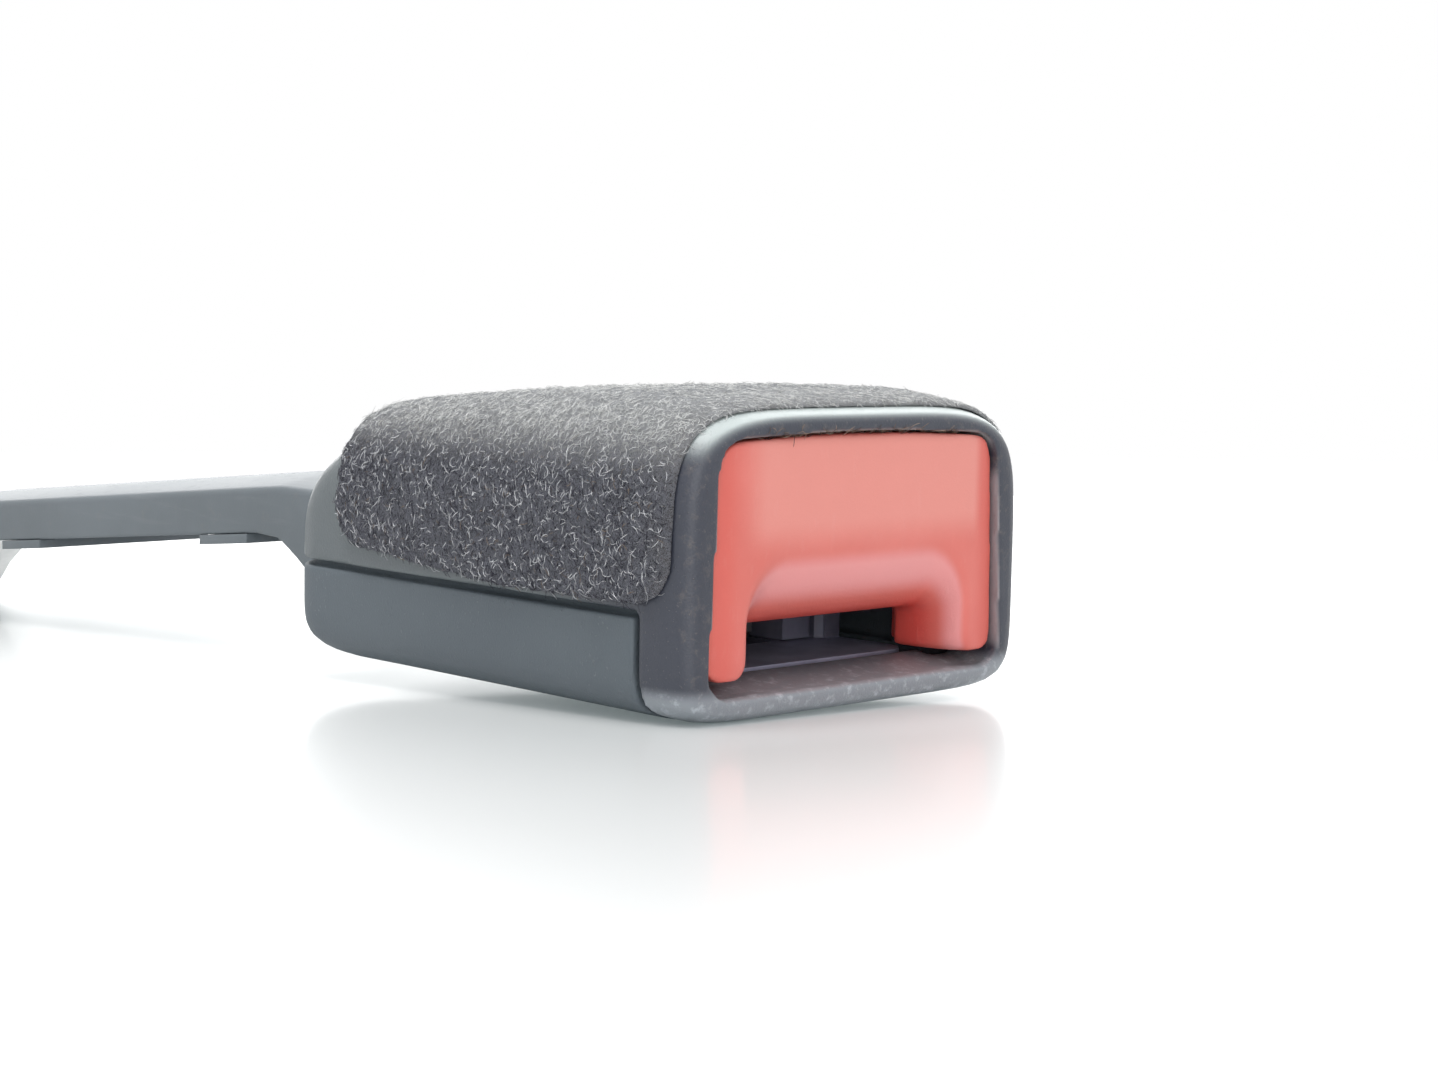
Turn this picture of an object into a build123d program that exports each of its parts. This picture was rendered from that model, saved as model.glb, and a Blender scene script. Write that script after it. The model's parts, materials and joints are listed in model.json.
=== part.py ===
from build123d import *
import os
from math import atan2, cos, pi, radians, sin, sqrt

# A seat belt buckle on a semi-rigid stalk. All lengths are millimetres.
#
# Frame: +X is to the right when the tongue slot is faced, +Y runs from the slot back
# along the stalk, +Z is up. The origin is the middle of the slot's mouth: Y = 0 is the
# bezel's front plane and Z = 0 is the middle plane of the tongue's path.

# --- Housing, outer form ---------------------------------------------------------
HOUSING_LENGTH = 59.0
HOUSING_HALF_WIDTH = 22.4
HOUSING_REAR_TAPER = 0.8         # how much narrower each side is at the rear
HOUSING_TOP = 21.5               # crown of the roof at the bezel
HOUSING_BOTTOM = -5.47           # keel of the crowned underside
ROOF_FALL = 3.9                  # how far the roof's line has sunk at the rear
ROOF_FALL_START = 6.0
SIDE_LEAN = 0.5                  # how far each side leans in towards the roof
SECTION_CORNER = 0.95            # crowned sides would meet at this share of width and height
SECTION_ROUND = 0.56             # corner radius as a share of the section's half height
FRONT_ROUND_LENGTH = 2.6
FRONT_ROUND_SIDE = 2.4
FRONT_ROUND_TOP = 1.5
REAR_ROUND_SIDE = 6.0
REAR_ROUND_TOP_LENGTH = 16.0
REAR_FACE_TOP = 6.0              # height where the rounded rear meets the rear face
REAR_ROUND_BOTTOM_LENGTH = 10.0
REAR_ROUND_BOTTOM = 4.8
SHELL_WALL = 2.0
FLOOR_WALL = 1.25
HOLD_DOWN_RIB = 1.4              # ribs of the upper shell over the frame's bridge
SPRING_SEAT_HALF_WIDTH = 2.6
SPRING_SEAT_THICKNESS = 1.6
FRAME_STOP_THICKNESS = 1.2       # cross rib of the tray behind the steel frame

# --- Parting between the two shells ----------------------------------------------
GROOVE_TOP = 4.6
GROOVE_GAP = 0.9
HOOD_REAR = 5.3                  # the hood's lower part ends here, the tray starts behind
HOOD_GAP = 0.6
HOOD_KEEL_REAR = 2.9             # the same parting on the underside, further forward
LIP_INSET = 1.15
LIP_RISE = 1.9
LIP_CLEARANCE = 0.15

# --- Bezel opening ---------------------------------------------------------------
OPENING_HALF_WIDTH = 19.0
OPENING_TOP_HALF_WIDTH = 17.9
OPENING_TOP = 19.15
OPENING_CROWN = 0.6
OPENING_BOTTOM = -3.1
OPENING_TOP_RADIUS = 3.6
OPENING_BOTTOM_RADIUS = 2.2
TUNNEL_DEPTH = 8.0               # the bezel's thick wall guides the button this far
RAMP_TOP = -2.2                  # the funnel floor rises to here
RAMP_LENGTH = 7.0
RAMP_START = 0.9                 # the lower lip's flat before the ramp
RAMP_STEP = 0.2                  # the ramp starts this far below the opening

# --- Felt pad --------------------------------------------------------------------
FELT_THICKNESS = 1.2
GLUE_LINE = 0.06
FELT_FRONT = 1.5
FELT_REAR = 48.0
FELT_LOW = 4.9
FELT_LOW_REAR = 6.7
FELT_FRONT_RADIUS = 4.0
FELT_REAR_RADIUS = 4.5

# --- Tongue path -----------------------------------------------------------------
TONGUE_PATH_HALF_WIDTH = 12.75
TONGUE_PATH_TOP = 2.15
TONGUE_PATH_FLOOR = -2.2

# --- Release button --------------------------------------------------------------
BUTTON_GAP = 0.45
BUTTON_FACE = 0.3
BUTTON_SKIRT_REAR = 11.0
BUTTON_TRAVEL = 5.0
BUTTON_WALL = 1.9
FACE_EDGE_RADIUS = 0.8
BUTTON_BAND_WIDTH = 4.0          # the rounded band down each side of the face
BUTTON_BAND_DROP = 1.2
LEG_BOTTOM = -1.75
NOTCH_FRONT_HALF_WIDTH = 16.0
NOTCH_FRONT_TOP = 8.5
NOTCH_RADIUS = 5.5
FUNNEL_DEPTH = 6.3
THROAT_RADIUS = 0.6
ARM_INNER = 15.8
ARM_THICKNESS = 2.1
ARM_BOTTOM = 6.6
ARM_TOP = 12.2
ARM_REAR = 34.0
ARM_ROOT_SPREAD = 2.5            # the arm widens by this where it leaves the button
ARM_ROOT_START = 2.0
ARM_ROOT_END = 3.0
ARM_END_RADIUS = 1.5
SPIGOT_RADIUS = 0.9
SPIGOT_LENGTH = 2.2

# --- Steel frame -----------------------------------------------------------------
FRAME_THICKNESS = 2.0
FRAME_CORNER_RADIUS = 2.5
FRAME_INNER_HALF = 13.2
FRAME_FRONT = 7.8
FRAME_REAR = 53.0
SIDE_WALL_FRONT = 17.0
SIDE_WALL_REAR = 47.0
SIDE_WALL_TOP = 13.0
WINDOW_HALF_WIDTH = 7.5
WINDOW_FRONT = 18.5
WINDOW_REAR = 25.5
BRIDGE_FRONT = 18.5
BRIDGE_REAR = 25.0
BRIDGE_THICKNESS = 1.6
BRIDGE_CORNER_RADIUS = 1.0
TENON_LENGTH = 3.0
SIDE_WALL_SLOPE = 6.0            # the side wall's top falls over this length to the pivot
PIVOT_WALL = 4.0                 # steel above the pivot's axis

# --- Latch, pivot and lock bar ---------------------------------------------------
PIVOT_Y = 42.0
PIVOT_Z = 4.4
PIN_RADIUS = 1.55
PIN_HEAD_RIM = 0.9
PIN_HEAD_THICKNESS = 1.0
PIN_END = 1.1                    # how far the pin stands out of the frame
CLIP_RIM = 1.1
CLIP_THICKNESS = 0.6
CLIP_MOUTH = 0.9
RUNNING_CLEARANCE = 0.05
BARREL_RADIUS = 2.7
LATCH_HALF_WIDTH = 11.0
LATCH_BOTTOM = 3.4
LATCH_THICKNESS = 2.0
LATCH_CORNER_RADIUS = 2.0
LATCH_FRONT = 17.6
LATCH_LIFT_DEG = 9.0
TOOTH_HALF_WIDTH = 6.5
TOOTH_FRONT = 20.5
TOOTH_THICKNESS = 3.0
TOOTH_BOTTOM = -2.6
TOOTH_LEAD = 1.2                 # the tooth's bevelled front edge
EAR_THICKNESS = 2.0
EAR_FRONT = 26.0
EAR_REAR = 38.0
EAR_TOP = 12.6
EAR_SHOULDER = 2.5
EAR_SLOPE = 3.0
BAR_Y = 28.4
BAR_Z = 9.4
BAR_RADIUS = 1.6
BUSH_RADIUS = 2.1
BUSH_OVERHANG = 0.3
BUSH_GRIP = 0.02
BAR_CHAMFER = 0.3
CAM_CLEARANCE = 0.32
SLIDE_CLEARANCE = 0.12

# --- Ejector ---------------------------------------------------------------------
EJECTOR_FRONT = 17.4
EJECTOR_REAR = 31.0
EJECTOR_TRAVEL = 7.0
EJECTOR_HALF_WIDTH = 12.0
EJECTOR_HEIGHT = 3.7
EJECTOR_FLOAT = 0.2
EJECTOR_CORNER_RADIUS = 1.0
SPRING_BORE_DEPTH = 3.0
SPRING_BORE_GAP = 0.15
FORK_INNER_HALF = 7.6
FORK_REAR = 26.0
GUIDE_THICKNESS = 0.9
GUIDE_OVERRUN = 1.5              # the rails go on this far past the ejector's travel
GUIDE_LEAD = 0.6
GUIDE_RISE = 0.4
SPRING_BLOCK_LENGTH = 2.4
SPRING_BLOCK_HALF_WIDTH = 8.0
SPRING_BLOCK_RADIUS = 0.8
SPRING_NOSE_LENGTH = 1.4
SPRING_NOSE_GAP = 0.24

# --- Springs ---------------------------------------------------------------------
SPRING_SEAT = 48.0
BUTTON_SPRING_RADIUS = 1.3       # to the middle of the wire
EJECTOR_SPRING_RADIUS = 1.35
LATCH_SPRING_RADIUS = 1.9
SPRING_WIRE = 0.42
SPRING_TURNS = 5
CHORDS_PER_TURN = 12

# --- Stalk -----------------------------------------------------------------------
STRAP_THICKNESS = 2.5
STRAP_HALF_WIDTH = 10.0
STRAP_FRONT = 43.6
STALK_ROOT = 75.0                # where the strap has risen to the stalk's own line
STALK_ROOT_Z = 7.19
STALK_SLOPE = -0.0975
STALK_RISE = 0.362               # slope of the strap's crank behind the housing
ROOT_END = 78.5
STRAP_CRANK = 167.0
ANCHOR_START = 184.0
ANCHOR_Z = -12.9
ANCHOR_HOLE_Y = 198.0
ANCHOR_HOLE_RADIUS = 5.8
ANCHOR_EYE_RADIUS = 14.0
STRAP_BEND_RADIUS = 6.0
RIVET_X = 5.5
RIVET_Y = 48.0
RIVET_RADIUS = 2.6
RIVET_HEAD_RADIUS = 4.2
RIVET_HEAD_HEIGHT = 1.3
RIVET_FOOT_FLARE = 1.2
RIVET_GRIP = 0.02
EYE_SHOULDER = 22.4              # the strap widens into its eye this far before the hole
SLEEVE_HALF_WIDTH = 12.0
SLEEVE_SIDE_HALF = 2.46          # half the height of the sleeve's flat side
SLEEVE_CROWN = 1.65
SLEEVE_END = 163.0
SLEEVE_STRAP_GAP = 0.2
SLEEVE_BASE_THICKNESS = 0.95
ROOT_FRONT = 55.0
ROOT_BOTTOM = -2.7
ROOT_UNDERSIDE = ((63.0, -2.1), (67.0, 0.1), (70.5, 2.3), (74.0, 4.2))
ROOT_TOP = 9.6
ROOT_FLANGE = 1.8
FLANGE_START = 0.6
FLANGE_BOTTOM = 1.0
LUG_STARTS = (80.0, 126.0)
LUG_LENGTH = 9.5
LUG_DROP = 1.1
SEAT_GAP = 0.3

# --- Snap hooks ------------------------------------------------------------------
HOOK_STATIONS = (14.0, 42.5)
HOOK_LENGTH = 5.0
HOOK_THICKNESS = 0.95
HOOK_TOP = 8.4
HOOK_BARB = 0.6
HOOK_GAP = 0.15
HOOK_FOOT = 1.2                  # the foot that ties the hook to the tray's wall
HOOK_LEDGE = 1.8                 # height of the barb
POCKET_DEPTH = 2.6

# --- Stations of the housing's form, closer together where its ends are rounded --
FRONT_STEPS = 3
ROOF_STEPS = 3
REAR_STEPS = 6
BEYOND = 5.0                     # how far cutting shapes reach past what they cut

# Worked out from the sizes above: where the strap leaves the frame's base.
STRAP_FLAT_Z = TONGUE_PATH_FLOOR + STRAP_THICKNESS / 2
STRAP_BEND_START = STALK_ROOT - (STALK_ROOT_Z - STRAP_FLAT_Z) / STALK_RISE


def end_rounding(distance, length):
    """Share of a quarter ellipse's height that is lost at a distance from its end."""
    if distance >= length:
        return 0.0
    return 1 - sqrt(1 - (1 - distance / length) ** 2)


def housing_half_width(y, inset):
    width = HOUSING_HALF_WIDTH - HOUSING_REAR_TAPER * y / HOUSING_LENGTH - inset
    width -= FRONT_ROUND_SIDE * end_rounding(y, FRONT_ROUND_LENGTH)
    rear = REAR_ROUND_SIDE - inset
    return width - rear * end_rounding(HOUSING_LENGTH - inset - y, rear)


def roof_line(y):
    """The roof's crown before its rear is rounded off."""
    run = max(0.0, y - ROOF_FALL_START) / (HOUSING_LENGTH - ROOF_FALL_START)
    return HOUSING_TOP - ROOF_FALL * run ** 2


def housing_top(y, inset):
    front = FRONT_ROUND_TOP * end_rounding(y, FRONT_ROUND_LENGTH)
    drop = roof_line(HOUSING_LENGTH) - REAR_FACE_TOP
    rear = drop * end_rounding(HOUSING_LENGTH - inset - y, REAR_ROUND_TOP_LENGTH)
    return roof_line(y) - inset - front - rear


def housing_bottom(y, inset):
    front = FRONT_ROUND_TOP * end_rounding(y, FRONT_ROUND_LENGTH)
    rear = REAR_ROUND_BOTTOM * end_rounding(HOUSING_LENGTH - inset - y, REAR_ROUND_BOTTOM_LENGTH)
    return HOUSING_BOTTOM + inset + front + rear


def housing_section(y, inset):
    """A cross-section of four crowned sides and rounded corners, narrower at the roof."""
    half_width = housing_half_width(y, inset)
    top = housing_top(y, inset)
    bottom = housing_bottom(y, inset)
    middle = (top + bottom) / 2
    half_height = (top - bottom) / 2
    low = (SECTION_CORNER * half_width, middle - SECTION_CORNER * half_height)
    high = (low[0] - SIDE_LEAN, middle + SECTION_CORNER * half_height)
    right = ThreePointArc(low, (half_width, middle), high)
    roof = ThreePointArc(high, (0, top), (-high[0], high[1]))
    left = ThreePointArc((-high[0], high[1]), (-half_width, middle), (-low[0], low[1]))
    keel = ThreePointArc((-low[0], low[1]), (0, bottom), low)
    face = make_face([right, roof, left, keel])
    face = fillet(face.vertices(), SECTION_ROUND * half_height)
    return Plane(origin=(0, y, 0), x_dir=(1, 0, 0), z_dir=(0, -1, 0)) * face


def housing_form(inset, start=0.0):
    """The housing's outer form, or the same form a wall's thickness further in."""
    end = HOUSING_LENGTH - inset
    stations = [FRONT_ROUND_LENGTH * (1 - cos(pi / 2 * i / FRONT_STEPS)) for i in range(FRONT_STEPS + 1)]
    rear_start = HOUSING_LENGTH - REAR_ROUND_TOP_LENGTH
    run = rear_start - FRONT_ROUND_LENGTH
    stations += [FRONT_ROUND_LENGTH + run * i / ROOF_STEPS for i in range(1, ROOF_STEPS)]
    rear_run = end - rear_start
    stations += [rear_start + rear_run * sin(pi / 2 * i / REAR_STEPS) for i in range(REAR_STEPS + 1)]
    kept = [start] + [y for y in stations if y > start + 0.05]
    return loft([housing_section(y, inset) for y in kept], ruled=True)


def block(x_span, y_span, z_span):
    """A box between two corners."""
    size = [span[1] - span[0] for span in (x_span, y_span, z_span)]
    centre = [(span[1] + span[0]) / 2 for span in (x_span, y_span, z_span)]
    return Pos(*centre) * Box(*size)


def side_prism(points, half_width):
    """A closed outline in the YZ plane, carried across the width both ways."""
    face = make_face(Plane.YZ * Polyline(*points, close=True))
    return extrude(face, half_width, both=True)


def rod_x(y, z, radius, half_length):
    return Pos(0, y, z) * Rot(0, 90, 0) * Cylinder(radius, 2 * half_length)


def both_sides(piece):
    return piece + mirror(piece, Plane.YZ)


def opening_outline(gap):
    """The bezel's opening, or the button's outline a gap inside it, facing -Y."""
    wide = OPENING_HALF_WIDTH - gap
    narrow = OPENING_TOP_HALF_WIDTH - gap
    low = OPENING_BOTTOM + gap
    shoulder = OPENING_TOP - OPENING_CROWN - gap
    crown = OPENING_TOP - gap
    bottom_round = max(OPENING_BOTTOM_RADIUS - gap, 0.3)
    top_round = max(OPENING_TOP_RADIUS - gap, 0.3)
    sides = Polyline((-narrow, shoulder), (-wide, low), (wide, low), (narrow, shoulder))
    crown_arc = ThreePointArc((narrow, shoulder), (0, crown), (-narrow, shoulder))
    face = make_face(sides + crown_arc)
    lower = face.vertices().group_by(Axis.Y)[0]
    face = fillet(lower, bottom_round)
    upper = [v for v in face.vertices() if abs(v.Y - shoulder) < 0.01]
    return fillet(upper, top_round)


def along_y(face, start, end):
    """Carries an outline drawn as (x, z) from one Y to another."""
    placed = Plane(origin=(0, start, 0), x_dir=(1, 0, 0), z_dir=(0, -1, 0)) * face
    return extrude(placed, -(end - start))


def keel_parting(gap):
    """Two points on the slanted parting under the nose, a gap behind it."""
    slope = FLOOR_WALL / (HOOD_REAR - HOOD_KEEL_REAR)
    upper = (HOOD_REAR + gap, HOUSING_BOTTOM + FLOOR_WALL)
    return (upper[0] - BEYOND / slope, upper[1] - BEYOND), upper


def hood_region():
    """What belongs to the upper shell: all above the groove, and the whole nose."""
    low, upper = keel_parting(0)
    high = HOUSING_TOP + BEYOND
    far = HOUSING_LENGTH + BEYOND
    points = [low, upper, (HOOD_REAR, GROOVE_TOP), (far, GROOVE_TOP), (far, high), (low[0], high)]
    return side_prism(points, HOUSING_HALF_WIDTH + BEYOND)


def tray_region():
    """What belongs to the lower shell, a parting gap away from the hood."""
    low, upper = keel_parting(HOOD_GAP)
    parting = GROOVE_TOP - GROOVE_GAP
    far = HOUSING_LENGTH + BEYOND
    points = [low, upper, (upper[0], parting), (far, parting), (far, low[1])]
    return side_prism(points, HOUSING_HALF_WIDTH + BEYOND)


def plan_slab(inset, front, low, high):
    """The housing's plan outline at the groove, a wall's thickness in, as a slab."""
    rear = HOUSING_LENGTH - inset
    at_front = HOUSING_HALF_WIDTH - HOUSING_REAR_TAPER * front / HOUSING_LENGTH - inset
    at_rear = HOUSING_HALF_WIDTH - HOUSING_REAR_TAPER - inset
    outline = Polyline((-at_front, front), (at_front, front), (at_rear, rear), (-at_rear, rear), close=True)
    face = make_face(outline)
    face = fillet(face.vertices().group_by(Axis.Y)[-1], REAR_ROUND_SIDE - inset)
    return Pos(0, 0, low) * extrude(face, high - low)


def tray_cavity():
    """The tray's inside: rounded walls, and a flat well that the steel frame stands in."""
    slab = plan_slab(SHELL_WALL, HOOD_REAR, HOUSING_BOTTOM + SHELL_WALL, GROOVE_TOP + LIP_RISE + BEYOND)
    lower_edges = slab.edges().group_by(Axis.Z)[0].filter_by(lambda edge: edge.center().Y > HOOD_REAR + 0.1)
    slab = fillet(lower_edges, 0.95 * (REAR_ROUND_SIDE - SHELL_WALL))
    half = FRAME_INNER_HALF + FRAME_THICKNESS + SEAT_GAP
    well = block((-half, half), (HOOD_REAR, FRAME_REAR + SEAT_GAP), (HOUSING_BOTTOM + FLOOR_WALL, 0))
    return slab + well


def root_passage():
    """The hole in the housing's rear that the stalk's root passes through."""
    return block((-SLEEVE_HALF_WIDTH - SEAT_GAP, SLEEVE_HALF_WIDTH + SEAT_GAP),
                 (ROOT_FRONT - 1, HOUSING_LENGTH + BEYOND),
                 (ROOT_BOTTOM - SEAT_GAP, ROOT_TOP + SLEEVE_CROWN + SEAT_GAP))


def hook_stem_outer():
    """The outer face of the snap hooks, clear of the upper shell's wall."""
    return HOUSING_HALF_WIDTH - HOUSING_REAR_TAPER - SHELL_WALL - HOOK_GAP


def upper_shell(form, inside):
    shell = form & hood_region()
    half = HOUSING_HALF_WIDTH
    shell -= inside & block((-half, half), (TUNNEL_DEPTH, HOUSING_LENGTH), (HOUSING_BOTTOM, HOUSING_TOP))
    shell -= along_y(opening_outline(0), -BEYOND, TUNNEL_DEPTH + 0.5)
    # The lower edge is rebated for the tray's lip.
    rebate_top = GROOVE_TOP - GROOVE_GAP + LIP_RISE + LIP_CLEARANCE
    shell -= plan_slab(LIP_INSET - LIP_CLEARANCE, HOOD_REAR + HOOD_GAP, GROOVE_TOP - 1, rebate_top)
    shell += funnel_floor() & form
    shell += upper_ribs() & housing_form(SHELL_WALL / 2)
    return shell - hook_pockets() - root_passage()


def funnel_floor():
    """The floor behind the bezel's lower lip, rising to the steel frame's level."""
    under = HOUSING_BOTTOM + FLOOR_WALL
    seam = HOOD_REAR - 1
    front = side_prism([(RAMP_START, funnel_height(RAMP_START)), (HOOD_REAR, funnel_height(HOOD_REAR)),
                        (HOOD_REAR, under), (RAMP_START, under)], OPENING_HALF_WIDTH)
    rear = side_prism([(seam, funnel_height(seam)), (RAMP_LENGTH, funnel_height(RAMP_LENGTH)),
                       (RAMP_LENGTH, under + SEAT_GAP), (seam, under + SEAT_GAP)],
                      FRAME_INNER_HALF + FRAME_THICKNESS)
    return front + rear


def funnel_height(y):
    """Height of the funnel floor's slope at a distance behind the bezel."""
    low = OPENING_BOTTOM - RAMP_STEP
    return low + (RAMP_TOP - low) * (y - RAMP_START) / (RAMP_LENGTH - RAMP_START)


def upper_ribs():
    """Ribs that hold the frame's bridge down, and the seats of the button springs."""
    ribs = []
    half_rib = HOLD_DOWN_RIB / 2
    rib_bottom = SIDE_WALL_TOP + BRIDGE_THICKNESS + SEAT_GAP
    for x in (-FRAME_INNER_HALF / 2, FRAME_INNER_HALF / 2):
        ribs.append(block((x - half_rib, x + half_rib), (BRIDGE_FRONT, BRIDGE_REAR),
                          (rib_bottom, HOUSING_TOP)))
    seat_x = ARM_INNER + ARM_THICKNESS / 2
    for x in (-seat_x, seat_x):
        ribs.append(block((x - SPRING_SEAT_HALF_WIDTH, x + SPRING_SEAT_HALF_WIDTH),
                          (SPRING_SEAT, SPRING_SEAT + SPRING_SEAT_THICKNESS), (ARM_BOTTOM, HOUSING_TOP)))
    return Part() + ribs


def hook_pockets():
    """Pockets in the upper shell that the snap hooks' barbs catch in."""
    outer = hook_stem_outer() + HOOK_BARB + HOOK_GAP
    half = HOOK_LENGTH / 2 + HOOK_GAP
    pockets = []
    for y in HOOK_STATIONS:
        pocket = block((hook_stem_outer() - SHELL_WALL, outer), (y - half, y + half),
                       (HOOK_TOP - POCKET_DEPTH, HOOK_TOP + HOOK_GAP))
        pockets += [pocket, mirror(pocket, Plane.YZ)]
    return Part() + pockets


def lower_shell(form):
    shell = form & tray_region()
    # The lip closes the groove from inside.
    parting = GROOVE_TOP - GROOVE_GAP
    shell += plan_slab(LIP_INSET, HOOD_REAR + HOOD_GAP + 0.4, parting - 1, parting + LIP_RISE)
    shell -= tray_cavity()
    # A cross rib stops the frame from sliding back.
    rib_front = FRAME_REAR + SEAT_GAP
    shell += block((-SLEEVE_HALF_WIDTH, SLEEVE_HALF_WIDTH), (rib_front, rib_front + FRAME_STOP_THICKNESS),
                   (HOUSING_BOTTOM + FLOOR_WALL / 2, TONGUE_PATH_FLOOR - SEAT_GAP))
    for y in HOOK_STATIONS:
        shell += both_sides(Pos(0, y, 0) * snap_hook())
    return shell - root_passage()


def snap_hook():
    """One of the tray's hooks: a springy stem on a foot, with a barb at its top."""
    stem = hook_stem_outer()
    ledge = HOOK_TOP - HOOK_LEDGE
    parting = GROOVE_TOP - GROOVE_GAP
    profile = [(stem - HOOK_THICKNESS, 0), (stem + HOOK_FOOT, 0), (stem + HOOK_FOOT, parting),
               (stem, parting), (stem, ledge), (stem + HOOK_BARB, ledge), (stem, HOOK_TOP),
               (stem - HOOK_THICKNESS, HOOK_TOP)]
    face = make_face(Plane.XZ * Polyline(*profile, close=True))
    return extrude(face, HOOK_LENGTH / 2, both=True)


def felt_pad():
    """The glued pad that covers the roof and most of both sides."""
    skin = housing_form(-GLUE_LINE - FELT_THICKNESS) - housing_form(-GLUE_LINE)
    high = HOUSING_TOP + BEYOND
    outline = Polyline((FELT_FRONT, high), (FELT_FRONT, FELT_LOW), (FELT_REAR / 2, FELT_LOW),
                       (FELT_REAR, FELT_LOW_REAR), (FELT_REAR, high), close=True)
    face = make_face(Plane.YZ * outline)
    front_corner = face.vertices().sort_by(Axis.Y)[:2].sort_by(Axis.Z)[0]
    face = fillet(front_corner, FELT_FRONT_RADIUS)
    rear_corner = face.vertices().sort_by(Axis.Y)[-2:].sort_by(Axis.Z)[0]
    face = fillet(rear_corner, FELT_REAR_RADIUS)
    return skin & extrude(face, HOUSING_HALF_WIDTH + BEYOND, both=True)


def notch_face(half_width, top, radius, bottom):
    """The outline of the funnel that is cut into the button, open at the bottom."""
    outline = Polyline((-half_width, bottom), (-half_width, top), (half_width, top),
                       (half_width, bottom), close=True)
    face = make_face(outline)
    return fillet(face.vertices().group_by(Axis.Y)[-1], radius)


def release_button():
    outline = opening_outline(BUTTON_GAP)
    body = along_y(outline, 0, BUTTON_SKIRT_REAR)
    body -= block((-OPENING_HALF_WIDTH, OPENING_HALF_WIDTH), (-1, BUTTON_SKIRT_REAR + 1),
                  (OPENING_BOTTOM - 1, LEG_BOTTOM))
    body &= button_plan()
    body = soften_face(body)
    # The funnel narrows from the face to the slot, then runs straight to the rear.
    below = OPENING_BOTTOM - 2
    mouth = notch_face(NOTCH_FRONT_HALF_WIDTH, NOTCH_FRONT_TOP, NOTCH_RADIUS, below)
    throat = notch_face(TONGUE_PATH_HALF_WIDTH, TONGUE_PATH_TOP, THROAT_RADIUS, below)
    funnel_end = BUTTON_FACE + FUNNEL_DEPTH
    front_plane = Plane(origin=(0, BUTTON_FACE, 0), x_dir=(1, 0, 0), z_dir=(0, -1, 0))
    throat_plane = Plane(origin=(0, funnel_end, 0), x_dir=(1, 0, 0), z_dir=(0, -1, 0))
    body -= loft([front_plane * mouth, throat_plane * throat], ruled=True)
    body -= along_y(mouth, -1, BUTTON_FACE)
    body -= along_y(throat, funnel_end, BUTTON_SKIRT_REAR + 1)
    body -= button_hollow()
    body += both_sides(button_arm())
    return body - rod_x(BAR_Y, BAR_Z, BAR_RADIUS + SLIDE_CLEARANCE, ARM_INNER + ARM_THICKNESS + 1)


def button_plan():
    """The button seen from above: a flat face with a rounded band at each side."""
    flat = OPENING_HALF_WIDTH - BUTTON_GAP - BUTTON_BAND_WIDTH
    edge = OPENING_HALF_WIDTH - BUTTON_GAP
    back = BUTTON_SKIRT_REAR + 1
    side_face = BUTTON_FACE + BUTTON_BAND_DROP
    bend_x = flat + BUTTON_BAND_WIDTH / 2
    bend_y = BUTTON_FACE + BUTTON_BAND_DROP / 4
    left = ThreePointArc((-edge, side_face), (-bend_x, bend_y), (-flat, BUTTON_FACE))
    right = ThreePointArc((flat, BUTTON_FACE), (bend_x, bend_y), (edge, side_face))
    rest = Polyline((edge, side_face), (edge, back), (-edge, back), (-edge, side_face))
    plan = make_face(left + Line((-flat, BUTTON_FACE), (flat, BUTTON_FACE)) + right + rest)
    return Pos(0, 0, OPENING_BOTTOM - 1) * extrude(plan, OPENING_TOP - OPENING_BOTTOM + 2)


def soften_face(body):
    """Rounds the face's top and bottom edges where they meet the gap."""
    high = OPENING_TOP - BUTTON_GAP
    outline = Polyline((BUTTON_FACE, LEG_BOTTOM), (BUTTON_SKIRT_REAR, LEG_BOTTOM),
                       (BUTTON_SKIRT_REAR, high), (BUTTON_FACE, high), close=True)
    side = make_face(outline)
    front = side.vertices().group_by(Axis.X)[0]
    return body & extrude(Plane.YZ * fillet(front, FACE_EDGE_RADIUS), OPENING_HALF_WIDTH, both=True)


def button_hollow():
    """The moulded button is hollow behind its face and above its funnel."""
    half = OPENING_TOP_HALF_WIDTH - BUTTON_GAP - BUTTON_WALL
    roof = OPENING_TOP - OPENING_CROWN - BUTTON_GAP - BUTTON_WALL
    funnel_top = NOTCH_FRONT_TOP + BUTTON_WALL
    rear = BUTTON_SKIRT_REAR + 1
    behind_face = block((-half, half), (BUTTON_FACE + 1.5 * BUTTON_WALL, rear), (funnel_top, roof))
    above_throat = block((-half, half), (BUTTON_FACE + FUNNEL_DEPTH + BUTTON_WALL / 4, rear),
                         (TONGUE_PATH_TOP + BUTTON_WALL, funnel_top + 1))
    return behind_face + above_throat


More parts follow.
